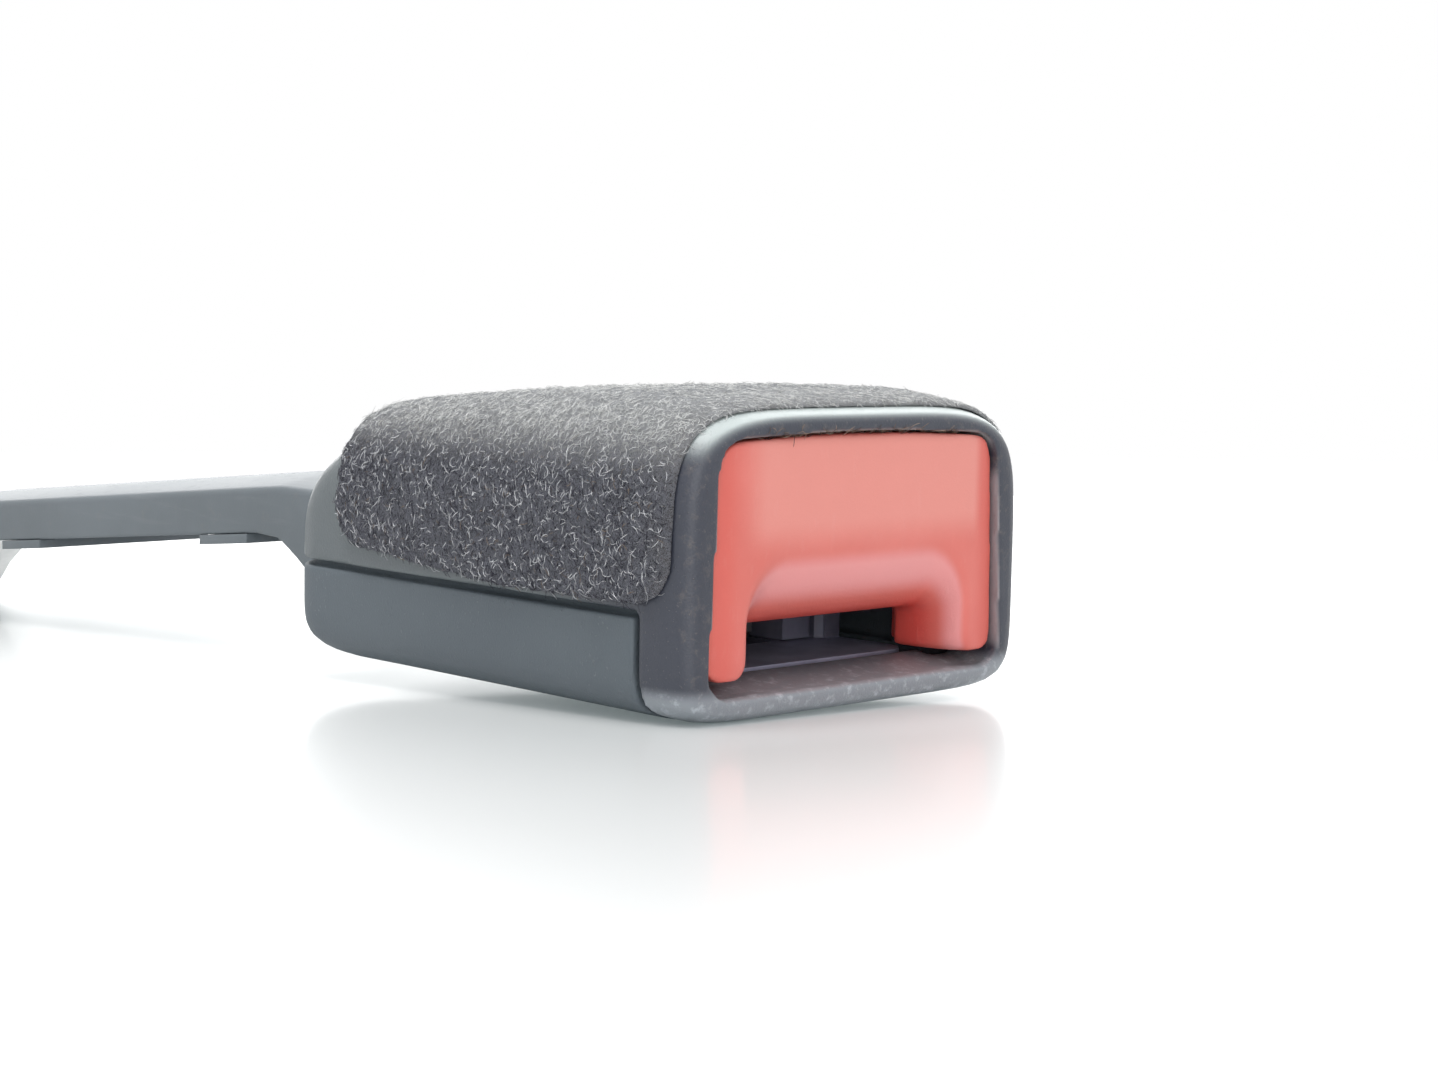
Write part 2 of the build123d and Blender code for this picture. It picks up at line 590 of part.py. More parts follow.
def button_arm():
    """A side arm that carries one end of the lock bar, with its spring's spigot."""
    root = BUTTON_SKIRT_REAR - ARM_ROOT_START
    narrow = BUTTON_SKIRT_REAR + ARM_ROOT_END
    points = [(root, ARM_BOTTOM - ARM_ROOT_SPREAD), (narrow, ARM_BOTTOM), (ARM_REAR, ARM_BOTTOM),
              (ARM_REAR, ARM_TOP), (narrow, ARM_TOP), (root, ARM_TOP + ARM_ROOT_SPREAD)]
    face = make_face(Plane.YZ * Polyline(*points, close=True))
    face = fillet(face.vertices().group_by(Axis.Y)[-1], ARM_END_RADIUS)
    arm = Pos(ARM_INNER, 0, 0) * extrude(face, ARM_THICKNESS)
    # The spigot starts inside the arm.
    spigot_length = SPIGOT_LENGTH + ARM_THICKNESS / 4
    middle = ARM_REAR + SPIGOT_LENGTH - spigot_length / 2
    place = Pos(ARM_INNER + ARM_THICKNESS / 2, middle, BAR_Z) * Rot(90, 0, 0)
    return arm + place * Cylinder(SPIGOT_RADIUS, spigot_length)


def steel_frame():
    outer = FRAME_INNER_HALF + FRAME_THICKNESS
    base_bottom = TONGUE_PATH_FLOOR - FRAME_THICKNESS
    frame = block((-outer, outer), (FRAME_FRONT, FRAME_REAR), (base_bottom, TONGUE_PATH_FLOOR))
    frame = fillet(frame.edges().filter_by(Axis.Z), FRAME_CORNER_RADIUS)
    wall_bottom = base_bottom + FRAME_THICKNESS / 4
    profile = [(SIDE_WALL_FRONT, wall_bottom), (SIDE_WALL_REAR, wall_bottom),
               (SIDE_WALL_REAR, PIVOT_Z + PIVOT_WALL), (SIDE_WALL_REAR - SIDE_WALL_SLOPE, SIDE_WALL_TOP),
               (SIDE_WALL_FRONT, SIDE_WALL_TOP)]
    wall = make_face(Plane.YZ * Polyline(*profile, close=True))
    tenon = make_face(Plane.YZ * Polyline(*tenon_outline(0), close=True))
    wall = extrude(wall, FRAME_THICKNESS) + extrude(tenon, FRAME_THICKNESS)
    frame += both_sides(Pos(FRAME_INNER_HALF, 0, 0) * wall)
    frame -= block((-WINDOW_HALF_WIDTH, WINDOW_HALF_WIDTH), (WINDOW_FRONT, WINDOW_REAR),
                   (base_bottom - 1, TONGUE_PATH_FLOOR + 1))
    frame -= rod_x(PIVOT_Y, PIVOT_Z, PIN_RADIUS + RUNNING_CLEARANCE / 2, outer + 1)
    frame -= slide_slot(BUSH_RADIUS + SLIDE_CLEARANCE, outer + 1)
    for x in (-RIVET_X, RIVET_X):
        frame -= Pos(x, RIVET_Y, base_bottom) * rivet_shank(FRAME_THICKNESS, 0)
    return frame


def tenon_outline(clearance):
    """A tab on each side wall's top edge that the bridge is staked over."""
    middle = (BRIDGE_FRONT + BRIDGE_REAR) / 2
    half = TENON_LENGTH / 2 + clearance
    low = SIDE_WALL_TOP - BRIDGE_THICKNESS / 2
    top = SIDE_WALL_TOP + BRIDGE_THICKNESS
    return [(middle - half, low), (middle + half, low), (middle + half, top), (middle - half, top)]


def slide_slot(radius, half_length):
    """The straight slot that the lock bar's bushes run in."""
    slot = SlotCenterToCenter(BUTTON_TRAVEL + 2 * SLIDE_CLEARANCE, 2 * radius)
    middle = Plane(origin=(0, BAR_Y + BUTTON_TRAVEL / 2, BAR_Z), x_dir=(0, 1, 0), z_dir=(1, 0, 0))
    return extrude(middle * slot, half_length, both=True)


def frame_bridge():
    outer = FRAME_INNER_HALF + FRAME_THICKNESS
    bridge = block((-outer, outer), (BRIDGE_FRONT, BRIDGE_REAR),
                   (SIDE_WALL_TOP, SIDE_WALL_TOP + BRIDGE_THICKNESS))
    bridge = fillet(bridge.edges().filter_by(Axis.Z), BRIDGE_CORNER_RADIUS)
    middle = (BRIDGE_FRONT + BRIDGE_REAR) / 2
    half = TENON_LENGTH / 2 + RUNNING_CLEARANCE
    notch = block((FRAME_INNER_HALF - RUNNING_CLEARANCE, outer + 1), (middle - half, middle + half),
                  (SIDE_WALL_TOP - 1, SIDE_WALL_TOP + BRIDGE_THICKNESS + 1))
    return bridge - both_sides(notch)


def latch_plate():
    top = LATCH_BOTTOM + LATCH_THICKNESS
    plate = block((-LATCH_HALF_WIDTH, LATCH_HALF_WIDTH), (LATCH_FRONT, PIVOT_Y), (LATCH_BOTTOM, top))
    plate = fillet(plate.edges().filter_by(Axis.Z).group_by(Axis.Y)[0], LATCH_CORNER_RADIUS)
    plate += rod_x(PIVOT_Y, PIVOT_Z, BARREL_RADIUS, LATCH_HALF_WIDTH)
    rooted = LATCH_BOTTOM + LATCH_THICKNESS / 2
    tooth_rear = TOOTH_FRONT + TOOTH_THICKNESS
    tooth = side_prism([(TOOTH_FRONT, rooted), (TOOTH_FRONT, TOOTH_BOTTOM + TOOTH_LEAD),
                        (TOOTH_FRONT + TOOTH_LEAD, TOOTH_BOTTOM), (tooth_rear, TOOTH_BOTTOM),
                        (tooth_rear, rooted)], TOOTH_HALF_WIDTH)
    ear_shape = [(EAR_FRONT, rooted), (EAR_REAR + EAR_THICKNESS, rooted), (EAR_REAR, EAR_TOP - EAR_SHOULDER),
                 (EAR_REAR - EAR_SLOPE, EAR_TOP), (EAR_FRONT, EAR_TOP)]
    ear = extrude(make_face(Plane.YZ * Polyline(*ear_shape, close=True)), -EAR_THICKNESS)
    plate += tooth + both_sides(Pos(LATCH_HALF_WIDTH, 0, 0) * ear)
    plate -= rod_x(PIVOT_Y, PIVOT_Z, PIN_RADIUS + RUNNING_CLEARANCE, LATCH_HALF_WIDTH + 1)
    return plate - cam_slot()


def bar_in_latch(travel):
    """Where the lock bar lies in the latch after the button has moved by a travel."""
    lift = radians(LATCH_LIFT_DEG) * travel / BUTTON_TRAVEL
    dy = BAR_Y + travel - PIVOT_Y
    dz = BAR_Z - PIVOT_Z
    return (PIVOT_Y + dy * cos(lift) - dz * sin(lift), PIVOT_Z + dy * sin(lift) + dz * cos(lift))


def cam_slot():
    """The inclined slot in the latch's ears: the bar lifts the latch as it moves back."""
    radius = BAR_RADIUS + CAM_CLEARANCE
    stops = [bar_in_latch(BUTTON_TRAVEL * share) for share in (0, 0.5, 1)]
    cut = rod_x(*stops[0], radius, LATCH_HALF_WIDTH + 1)
    for (y0, z0), (y1, z1) in zip(stops, stops[1:]):
        run = sqrt((y1 - y0) ** 2 + (z1 - z0) ** 2)
        leg = Box(2 * LATCH_HALF_WIDTH + 2, run, 2 * radius)
        turn = atan2(z1 - z0, y1 - y0) * 180 / pi
        cut += Pos(0, (y0 + y1) / 2, (z0 + z1) / 2) * Rot(turn, 0, 0) * leg
        cut += rod_x(y1, z1, radius, LATCH_HALF_WIDTH + 1)
    return cut


def latch_pivot_pin():
    half = FRAME_INNER_HALF + FRAME_THICKNESS
    pin = rod_x(PIVOT_Y, PIVOT_Z, PIN_RADIUS, half + PIN_END)
    pin = chamfer(pin.edges().group_by(Axis.X)[0], BAR_CHAMFER)
    head_x = half + RUNNING_CLEARANCE + PIN_HEAD_THICKNESS / 2
    head = rod_x(PIVOT_Y, PIVOT_Z, PIN_RADIUS + PIN_HEAD_RIM, PIN_HEAD_THICKNESS / 2)
    return pin + Pos(head_x, 0, 0) * head


def pivot_clip():
    """The spring clip that keeps the pivot pin's plain end."""
    ring = rod_x(PIVOT_Y, PIVOT_Z, PIN_RADIUS + CLIP_RIM, CLIP_THICKNESS / 2)
    ring -= rod_x(PIVOT_Y, PIVOT_Z, PIN_RADIUS + BUSH_GRIP, CLIP_THICKNESS)
    ring -= block((-CLIP_THICKNESS, CLIP_THICKNESS), (PIVOT_Y - CLIP_MOUTH, PIVOT_Y + CLIP_MOUTH),
                  (PIVOT_Z, PIVOT_Z + BEYOND))
    return Pos(-FRAME_INNER_HALF - FRAME_THICKNESS - 0.1 - CLIP_THICKNESS / 2, 0, 0) * ring


def lock_bar():
    bar = rod_x(BAR_Y, BAR_Z, BAR_RADIUS, ARM_INNER + ARM_THICKNESS - SLIDE_CLEARANCE)
    return chamfer(bar.edges(), BAR_CHAMFER)


def lock_bar_bush(side):
    """A nylon bush that runs in the side wall's slot."""
    length = FRAME_THICKNESS + BUSH_OVERHANG
    bush = rod_x(BAR_Y, BAR_Z, BUSH_RADIUS, length / 2) - rod_x(BAR_Y, BAR_Z, BAR_RADIUS + BUSH_GRIP, length)
    return Pos(side * (FRAME_INNER_HALF + FRAME_THICKNESS / 2), 0, 0) * bush


def ejector():
    bottom = TONGUE_PATH_FLOOR + EJECTOR_FLOAT
    top = bottom + EJECTOR_HEIGHT
    body = block((-EJECTOR_HALF_WIDTH, EJECTOR_HALF_WIDTH), (EJECTOR_FRONT, EJECTOR_REAR), (bottom, top))
    body = fillet(body.edges().filter_by(Axis.Z), EJECTOR_CORNER_RADIUS)
    body -= block((-FORK_INNER_HALF, FORK_INNER_HALF), (EJECTOR_FRONT - 1, FORK_REAR), (bottom - 1, top + 1))
    # The spring sits in a blind bore in the rear face.
    bore = Cylinder(EJECTOR_SPRING_RADIUS + SPRING_WIRE / 2 + SPRING_BORE_GAP, 2 * SPRING_BORE_DEPTH)
    return body - Pos(0, EJECTOR_REAR, ejector_spring_z()) * Rot(90, 0, 0) * bore


def guide_rail(side):
    """A nylon cheek that guides the tongue and the ejector along the frame's wall."""
    outer = FRAME_INNER_HALF - RUNNING_CLEARANCE
    inner = outer - GUIDE_THICKNESS
    rear = EJECTOR_REAR + EJECTOR_TRAVEL + GUIDE_OVERRUN
    bottom = TONGUE_PATH_FLOOR + RUNNING_CLEARANCE
    rail = block((inner, outer), (SIDE_WALL_FRONT, rear), (bottom, TONGUE_PATH_TOP + GUIDE_RISE))
    lead = rail.edges().filter_by(Axis.Z).group_by(Axis.Y)[0].sort_by(Axis.X)[0]
    rail = chamfer(lead, GUIDE_LEAD)
    return rail if side > 0 else mirror(rail, Plane.YZ)


def spring_block():
    """The moulded block that the ejector's spring pushes against."""
    rear = STRAP_FRONT - SEAT_GAP
    front = rear - SPRING_BLOCK_LENGTH
    top = PIVOT_Z - BARREL_RADIUS - SEAT_GAP
    body = block((-SPRING_BLOCK_HALF_WIDTH, SPRING_BLOCK_HALF_WIDTH), (front, rear),
                 (TONGUE_PATH_FLOOR + RUNNING_CLEARANCE, top))
    body = fillet(body.edges().filter_by(Axis.Z), SPRING_BLOCK_RADIUS)
    # The nose that centres the spring starts inside the block.
    nose = Cylinder(EJECTOR_SPRING_RADIUS - SPRING_WIRE / 2 - SPRING_NOSE_GAP, 2 * SPRING_NOSE_LENGTH)
    return body + Pos(0, front, ejector_spring_z()) * Rot(90, 0, 0) * nose


def ejector_spring_z():
    return TONGUE_PATH_FLOOR + EJECTOR_FLOAT + EJECTOR_HEIGHT / 2


def coil(radius, length):
    """A square-wire coil along +Z from 0 to a length, each turn drawn in chords."""
    half = SPRING_WIRE / 2
    steps = SPRING_TURNS * CHORDS_PER_TURN
    sections = []
    for i in range(steps + 1):
        z = half + (length - SPRING_WIRE) * i / steps
        corners = [(radius - half, 0, z - half), (radius + half, 0, z - half),
                   (radius + half, 0, z + half), (radius - half, 0, z + half)]
        section = make_face(Polyline(*corners, close=True))
        sections.append(Rot(0, 0, 360 * i / CHORDS_PER_TURN) * section)
    return loft(sections, ruled=True)


def button_spring(side):
    start = ARM_REAR + RUNNING_CLEARANCE
    length = SPRING_SEAT - RUNNING_CLEARANCE - start
    place = Pos(side * (ARM_INNER + ARM_THICKNESS / 2), start, BAR_Z) * Rot(-90, 0, 0)
    return place * coil(BUTTON_SPRING_RADIUS, length)


def ejector_spring():
    start = EJECTOR_REAR - SPRING_BORE_DEPTH + RUNNING_CLEARANCE
    end = STRAP_FRONT - SEAT_GAP - SPRING_BLOCK_LENGTH - RUNNING_CLEARANCE
    place = Pos(0, start, ejector_spring_z()) * Rot(-90, 0, 0)
    return place * coil(EJECTOR_SPRING_RADIUS, end - start)


def latch_spring():
    start = LATCH_BOTTOM + LATCH_THICKNESS + RUNNING_CLEARANCE
    end = SIDE_WALL_TOP - RUNNING_CLEARANCE
    return Pos(0, (BRIDGE_FRONT + BRIDGE_REAR) / 2, start) * coil(LATCH_SPRING_RADIUS, end - start)


def stalk_z(y):
    """Height of the strap's middle plane along the stalk's straight run."""
    return STALK_ROOT_Z + STALK_SLOPE * (y - STALK_ROOT)


def anchor_strap():
    route = FilletPolyline((0, STRAP_FRONT, STRAP_FLAT_Z), (0, STRAP_BEND_START, STRAP_FLAT_Z),
                           (0, STALK_ROOT, STALK_ROOT_Z), (0, STRAP_CRANK, stalk_z(STRAP_CRANK)),
                           (0, ANCHOR_START, ANCHOR_Z), (0, ANCHOR_HOLE_Y + ANCHOR_EYE_RADIUS, ANCHOR_Z),
                           radius=STRAP_BEND_RADIUS)
    section = Plane(origin=route @ 0, x_dir=(1, 0, 0), z_dir=route % 0)
    strip = sweep(section * Rectangle(2 * ANCHOR_EYE_RADIUS, STRAP_THICKNESS), path=route)
    shoulder = ANCHOR_HOLE_Y - EYE_SHOULDER
    outline = make_face(Polyline((-STRAP_HALF_WIDTH, STRAP_FRONT), (STRAP_HALF_WIDTH, STRAP_FRONT),
                                 (STRAP_HALF_WIDTH, shoulder), (ANCHOR_EYE_RADIUS, ANCHOR_HOLE_Y),
                                 (-ANCHOR_EYE_RADIUS, ANCHOR_HOLE_Y), (-STRAP_HALF_WIDTH, shoulder),
                                 close=True))
    outline += Pos(0, ANCHOR_HOLE_Y) * Circle(ANCHOR_EYE_RADIUS)
    strip &= Pos(0, 0, ANCHOR_Z - BEYOND) * extrude(outline, STALK_ROOT_Z - ANCHOR_Z + 2 * BEYOND)
    strip -= Pos(0, ANCHOR_HOLE_Y, ANCHOR_Z) * Cylinder(ANCHOR_HOLE_RADIUS, 4 * STRAP_THICKNESS)
    for x in (-RIVET_X, RIVET_X):
        strip -= Pos(x, RIVET_Y, STRAP_FLAT_Z) * Cylinder(RIVET_RADIUS + RIVET_GRIP, 2 * STRAP_THICKNESS)
    return strip


def rivet_shank(length, growth):
    """A countersunk foot and its shank, from the underside of the frame upwards."""
    upwards = (Align.CENTER, Align.CENTER, Align.MIN)
    sink = FRAME_THICKNESS / 2
    foot = Cone(RIVET_RADIUS + RIVET_FOOT_FLARE - growth, RIVET_RADIUS - growth, sink, align=upwards)
    return foot + Pos(0, 0, sink / 2) * Cylinder(RIVET_RADIUS - growth, length, align=upwards)


def strap_rivet(side):
    base_bottom = TONGUE_PATH_FLOOR - FRAME_THICKNESS
    shank = rivet_shank(FRAME_THICKNESS + STRAP_THICKNESS, RIVET_GRIP)
    head_bottom = FRAME_THICKNESS + STRAP_THICKNESS + RIVET_GRIP
    head = Pos(0, 0, head_bottom + RIVET_HEAD_HEIGHT / 2) * Cylinder(RIVET_HEAD_RADIUS, RIVET_HEAD_HEIGHT)
    head = chamfer(head.edges().group_by(Axis.Z)[-1], RIVET_HEAD_HEIGHT / 2)
    return Pos(side * RIVET_X, RIVET_Y, base_bottom) * (shank + head)


def sleeve_face(y, bottom, side_top):
    """An upright cross-section of the sleeve with a crowned top."""
    half = SLEEVE_HALF_WIDTH
    sides = Polyline((-half, y, side_top), (-half, y, bottom), (half, y, bottom), (half, y, side_top))
    crown = ThreePointArc((half, y, side_top), (0, y, side_top + SLEEVE_CROWN), (-half, y, side_top))
    return make_face(sides + crown)


def root_flare():
    """Stations of the sleeve's root: distance, underside and top of its sides."""
    high = ROOT_TOP + 0.1
    stations = [(ROOT_FRONT, ROOT_BOTTOM, ROOT_TOP)]
    stations += [(y, bottom, high) for y, bottom in ROOT_UNDERSIDE]
    middle = stalk_z(ROOT_END)
    return stations + [(ROOT_END, middle - SLEEVE_SIDE_HALF, middle + SLEEVE_SIDE_HALF)]


def sleeve_form():
    """The stalk's moulded sleeve as a solid: a flared root, then a straight run."""
    form = loft([sleeve_face(*station) for station in root_flare()], ruled=True)
    ends = [(y, stalk_z(y) - SLEEVE_SIDE_HALF, stalk_z(y) + SLEEVE_SIDE_HALF) for y in (ROOT_END, SLEEVE_END)]
    return form + loft([sleeve_face(*end) for end in ends], ruled=True)


def strap_underside(gap):
    """The strap's underside from the housing to the sleeve's end, lowered by a gap."""
    drop = STRAP_THICKNESS / 2 + gap
    slant = drop * sqrt(1 + STALK_RISE ** 2)
    front = HOUSING_LENGTH + SEAT_GAP
    front_z = STALK_ROOT_Z - STALK_RISE * (STALK_ROOT - front)
    end = SLEEVE_END - 1
    return [(front, front_z - slant), (STALK_ROOT - 1, STALK_ROOT_Z - STALK_RISE - slant),
            (STALK_ROOT + 2, stalk_z(STALK_ROOT + 2) - drop), (end, stalk_z(end) - drop)]


def strap_channel(extra, half):
    """The room the strap needs inside the sleeve, and all that lies below it."""
    rise = (STRAP_THICKNESS / 2 + extra) * sqrt(1 + STALK_RISE ** 2)
    end = SLEEVE_END + BEYOND
    route = [(STRAP_BEND_START - BEYOND, STRAP_FLAT_Z), (STRAP_BEND_START, STRAP_FLAT_Z),
             (STALK_ROOT, STALK_ROOT_Z), (end, stalk_z(end))]
    upper = [(y, z + rise) for y, z in route]
    lower = [(y, z - 30) for y, z in reversed(route)]
    return side_prism(upper + lower, half)


def sleeve_top():
    """The crowned cover with the root that plugs into the housing."""
    cover = sleeve_form()
    cover -= strap_channel(SLEEVE_STRAP_GAP, STRAP_HALF_WIDTH + SLEEVE_STRAP_GAP)
    outer = SLEEVE_HALF_WIDTH + ROOT_FLANGE
    flange = block((STRAP_HALF_WIDTH + 1, outer),
                   (ROOT_FRONT + FLANGE_START, HOUSING_LENGTH - SHELL_WALL - SEAT_GAP),
                   (FLANGE_BOTTOM, ROOT_TOP / 2))
    return cover + both_sides(flange)


def sleeve_base():
    """The closing strip under the strap, with lugs that clip round the cover's edges."""
    strap_side = strap_underside(SLEEVE_STRAP_GAP)
    low = strap_underside(SLEEVE_STRAP_GAP + SLEEVE_BASE_THICKNESS)
    root = [(y, bottom + 0.2) for y, bottom, _ in root_flare()[1:-1]]
    first = (strap_side[0][0], ROOT_BOTTOM + 0.5)
    strip = side_prism(strap_side + low[:1:-1] + root[::-1] + [first], STRAP_HALF_WIDTH)
    for start in LUG_STARTS:
        strip += clip_lug(start)
    return strip


def clip_lug(start):
    ends = (start, start + LUG_LENGTH)
    under_strap = STRAP_THICKNESS / 2 + SLEEVE_STRAP_GAP + SLEEVE_BASE_THICKNESS / 2
    low = [(y, stalk_z(y) - SLEEVE_SIDE_HALF - LUG_DROP) for y in reversed(ends)]
    top = [(y, stalk_z(y) - SLEEVE_SIDE_HALF - RUNNING_CLEARANCE) for y in ends]
    web_top = [(y, stalk_z(y) - under_strap) for y in ends]
    return side_prism(top + low, SLEEVE_HALF_WIDTH) + side_prism(web_top + low, STRAP_HALF_WIDTH)


def main():
    os.makedirs("parts", exist_ok=True)
    form = housing_form(0)
    inside = housing_form(SHELL_WALL, HOOD_REAR)
    pieces = {
        "upper_shell": upper_shell(form, inside),
        "lower_shell": lower_shell(form),
        "felt_pad": felt_pad(),
        "release_button": release_button(),
        "steel_frame": steel_frame(),
        "frame_bridge": frame_bridge(),
        "latch_plate": latch_plate(),
        "latch_pivot_pin": latch_pivot_pin(),
        "pivot_clip": pivot_clip(),
        "lock_bar": lock_bar(),
        "ejector": ejector(),
        "spring_block": spring_block(),
        "ejector_spring": ejector_spring(),
        "latch_spring": latch_spring(),
        "anchor_strap": anchor_strap(),
        "sleeve_top": sleeve_top(),
        "sleeve_base": sleeve_base(),
    }
    for side, name in ((-1, "left"), (1, "right")):
        pieces[f"lock_bar_bush_{name}"] = lock_bar_bush(side)
        pieces[f"guide_rail_{name}"] = guide_rail(side)
        pieces[f"button_spring_{name}"] = button_spring(side)
        pieces[f"strap_rivet_{name}"] = strap_rivet(side)
    for name, piece in pieces.items():
        export_step(piece, f"parts/{name}.step")


main()
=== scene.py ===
import json
import math

import bmesh
import bpy
import numpy as np
from mathutils import Matrix, Vector
from mathutils.bvhtree import BVHTree

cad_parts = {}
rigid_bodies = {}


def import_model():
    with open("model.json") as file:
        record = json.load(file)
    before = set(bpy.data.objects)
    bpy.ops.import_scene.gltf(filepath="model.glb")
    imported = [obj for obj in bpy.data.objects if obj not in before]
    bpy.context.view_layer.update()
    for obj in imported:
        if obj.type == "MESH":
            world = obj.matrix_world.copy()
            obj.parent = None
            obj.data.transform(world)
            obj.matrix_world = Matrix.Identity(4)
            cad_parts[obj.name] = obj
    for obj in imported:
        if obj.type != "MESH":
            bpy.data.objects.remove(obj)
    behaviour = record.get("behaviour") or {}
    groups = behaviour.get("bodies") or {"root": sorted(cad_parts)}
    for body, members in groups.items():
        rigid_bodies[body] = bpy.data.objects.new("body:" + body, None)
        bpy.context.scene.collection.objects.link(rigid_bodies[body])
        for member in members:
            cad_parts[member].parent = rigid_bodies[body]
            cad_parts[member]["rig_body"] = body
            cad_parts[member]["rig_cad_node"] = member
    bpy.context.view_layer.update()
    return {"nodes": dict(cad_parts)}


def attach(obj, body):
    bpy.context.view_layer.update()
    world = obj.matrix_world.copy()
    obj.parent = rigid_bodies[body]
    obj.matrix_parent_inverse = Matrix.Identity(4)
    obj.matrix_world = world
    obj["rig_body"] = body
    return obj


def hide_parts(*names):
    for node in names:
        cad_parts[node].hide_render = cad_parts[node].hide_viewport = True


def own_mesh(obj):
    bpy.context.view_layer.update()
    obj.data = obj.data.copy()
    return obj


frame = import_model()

MM = 0.001

# ---------------------------------------------------------------------------------
# Camera. It looks at the slot's end from the buckle's left, low over the table. Its
# place is in millimetres and its angles are in degrees.
CAMERA_PLACE = (-153.465, -138.314, 29.114)
AZIMUTH, ELEVATION, ROLL = -44.366, 5.501, 1.168
SENSOR_WIDTH = 36
FRAME_WIDTH_PIXELS = 1438
FOCAL_LENGTH_PIXELS = 2350.165

camera_data = bpy.data.cameras.new("camera")
camera_data.sensor_width = SENSOR_WIDTH
camera_data.lens = SENSOR_WIDTH * FOCAL_LENGTH_PIXELS / FRAME_WIDTH_PIXELS
camera_data.clip_start = 0.01
camera = bpy.data.objects.new("camera", camera_data)
bpy.context.scene.collection.objects.link(camera)
bpy.context.scene.camera = camera
azimuth, elevation, roll = (math.radians(angle) for angle in (AZIMUTH, ELEVATION, ROLL))
back = Vector((math.sin(azimuth) * math.cos(elevation), -math.cos(azimuth) * math.cos(elevation),
               math.sin(elevation)))
level_right = (-back).cross(Vector((0, 0, 1))).normalized()
level_up = level_right.cross(-back)
right = level_right * math.cos(roll) + level_up * math.sin(roll)
up = level_up * math.cos(roll) - level_right * math.sin(roll)
camera.matrix_world = Matrix.Translation(Vector(CAMERA_PLACE) * MM) \
    @ Matrix((right, up, back)).transposed().to_4x4()


# ---------------------------------------------------------------------------------
# Light. A white room shows in everything glossy, and lights the matt faces more weakly.
# Soft lamps hang over the buckle, in front of it on the left and behind it on the right.
class Wire:
    """A socket of a finish's node tree, on which Python's operators add Math nodes."""

    def __init__(self, tree, socket=None):
        self.tree = tree
        self.socket = socket

    def node(self, kind, settings=None, inputs=None, output=0):
        made = self.tree.nodes.new("ShaderNode" + kind)
        for name, value in (settings or {}).items():
            setattr(made, name, value)
        for name, value in (inputs or {}).items():
            if isinstance(value, Wire):
                self.tree.links.new(value.socket, made.inputs[name])
            else:
                made.inputs[name].default_value = value
        return Wire(self.tree, made.outputs[output])

    def maths(self, operation, first, second=0.0):
        return self.node("Math", {"operation": operation}, {0: first, 1: second})

    def __add__(self, other):
        return self.maths("ADD", self, other)

    def __radd__(self, other):
        return self.maths("ADD", other, self)

    def __sub__(self, other):
        return self.maths("SUBTRACT", self, other)

    def __rsub__(self, other):
        return self.maths("SUBTRACT", other, self)

    def __mul__(self, other):
        return self.maths("MULTIPLY", self, other)

    def __rmul__(self, other):
        return self.maths("MULTIPLY", other, self)

    def __abs__(self):
        return self.maths("ABSOLUTE", self)

    def most(self, other):
        return self.maths("MAXIMUM", self, other)

    def between(self, low, high):
        """0 below low, 1 above high, and a smooth step between them."""
        return self.node("MapRange", {"interpolation_type": "SMOOTHSTEP"},
                         {"Value": self, "From Min": low, "From Max": high})

    def blend(self, low, high):
        """A colour that goes from low to high as this value goes from 0 to 1."""
        low, high = (c if isinstance(c, Wire) else (*c, 1) for c in (low, high))
        return self.node("Mix", {"data_type": "RGBA"}, {0: self, 6: low, 7: high}, 2)

    def noise(self, scale, detail=2.0, roughness=0.5, distortion=0.0):
        return self.node("TexNoise", {}, {"Vector": self, "Scale": scale, "Detail": detail,
                                          "Roughness": roughness, "Distortion": distortion})

    def stretched(self, across, along, upright):
        """The same coordinates, scaled apart along their three axes."""
        return self.node("VectorMath", {"operation": "MULTIPLY"}, {0: self, 1: (across, along, upright)})

    def part(self, axis):
        return self.node("SeparateXYZ", {}, {0: self}, "XYZ".index(axis))


def background_rays(start):
    """1 for the rays that show the white background: the camera's, mirrored and transmitted ones."""
    camera_ray = start.node("LightPath", output="Is Camera Ray")
    mirrored = start.node("LightPath", output="Is Glossy Ray")
    transmitted = start.node("LightPath", output="Is Transmission Ray")
    return camera_ray.most(mirrored).most(transmitted)


world = bpy.data.worlds.new("studio")
bpy.context.scene.world = world
world.use_nodes = True
world_tree = world.node_tree
start = Wire(world_tree)
ambient = start.node("Background", {}, {"Color": (0.93, 0.97, 1, 1), "Strength": 0.55})
white = start.node("Background", {}, {"Color": (1, 1, 1, 1), "Strength": 1.0})
sky = start.node("MixShader", {}, {0: background_rays(start), 1: ambient, 2: white})
world_tree.links.new(sky.socket, world_tree.nodes["World Output"].inputs["Surface"])

for name, place, aim, width, watts in (
        ("ceiling_light", (-0.12, 0.04, 0.55), (0, 0.03, 0), 0.30, 2.0),
        ("front_light", (-0.28, -0.44, 0.11), (0, 0, 0.01), 0.5, 1.5),
        ("back_light", (0.50, 0.56, 0.24), (0, 0.02, 0.01), 0.9, 6.0)):
    lamp_data = bpy.data.lights.new(name, "AREA")
    lamp_data.size = width
    lamp_data.energy = watts
    lamp = bpy.data.objects.new(name, lamp_data)
    lamp.visible_camera = False
    bpy.context.scene.collection.objects.link(lamp)
    turned = (Vector(place) - Vector(aim)).to_track_quat("Z", "Y")
    lamp.matrix_world = Matrix.Translation(place) @ turned.to_matrix().to_4x4()
bpy.context.scene.view_settings.view_transform = "Standard"


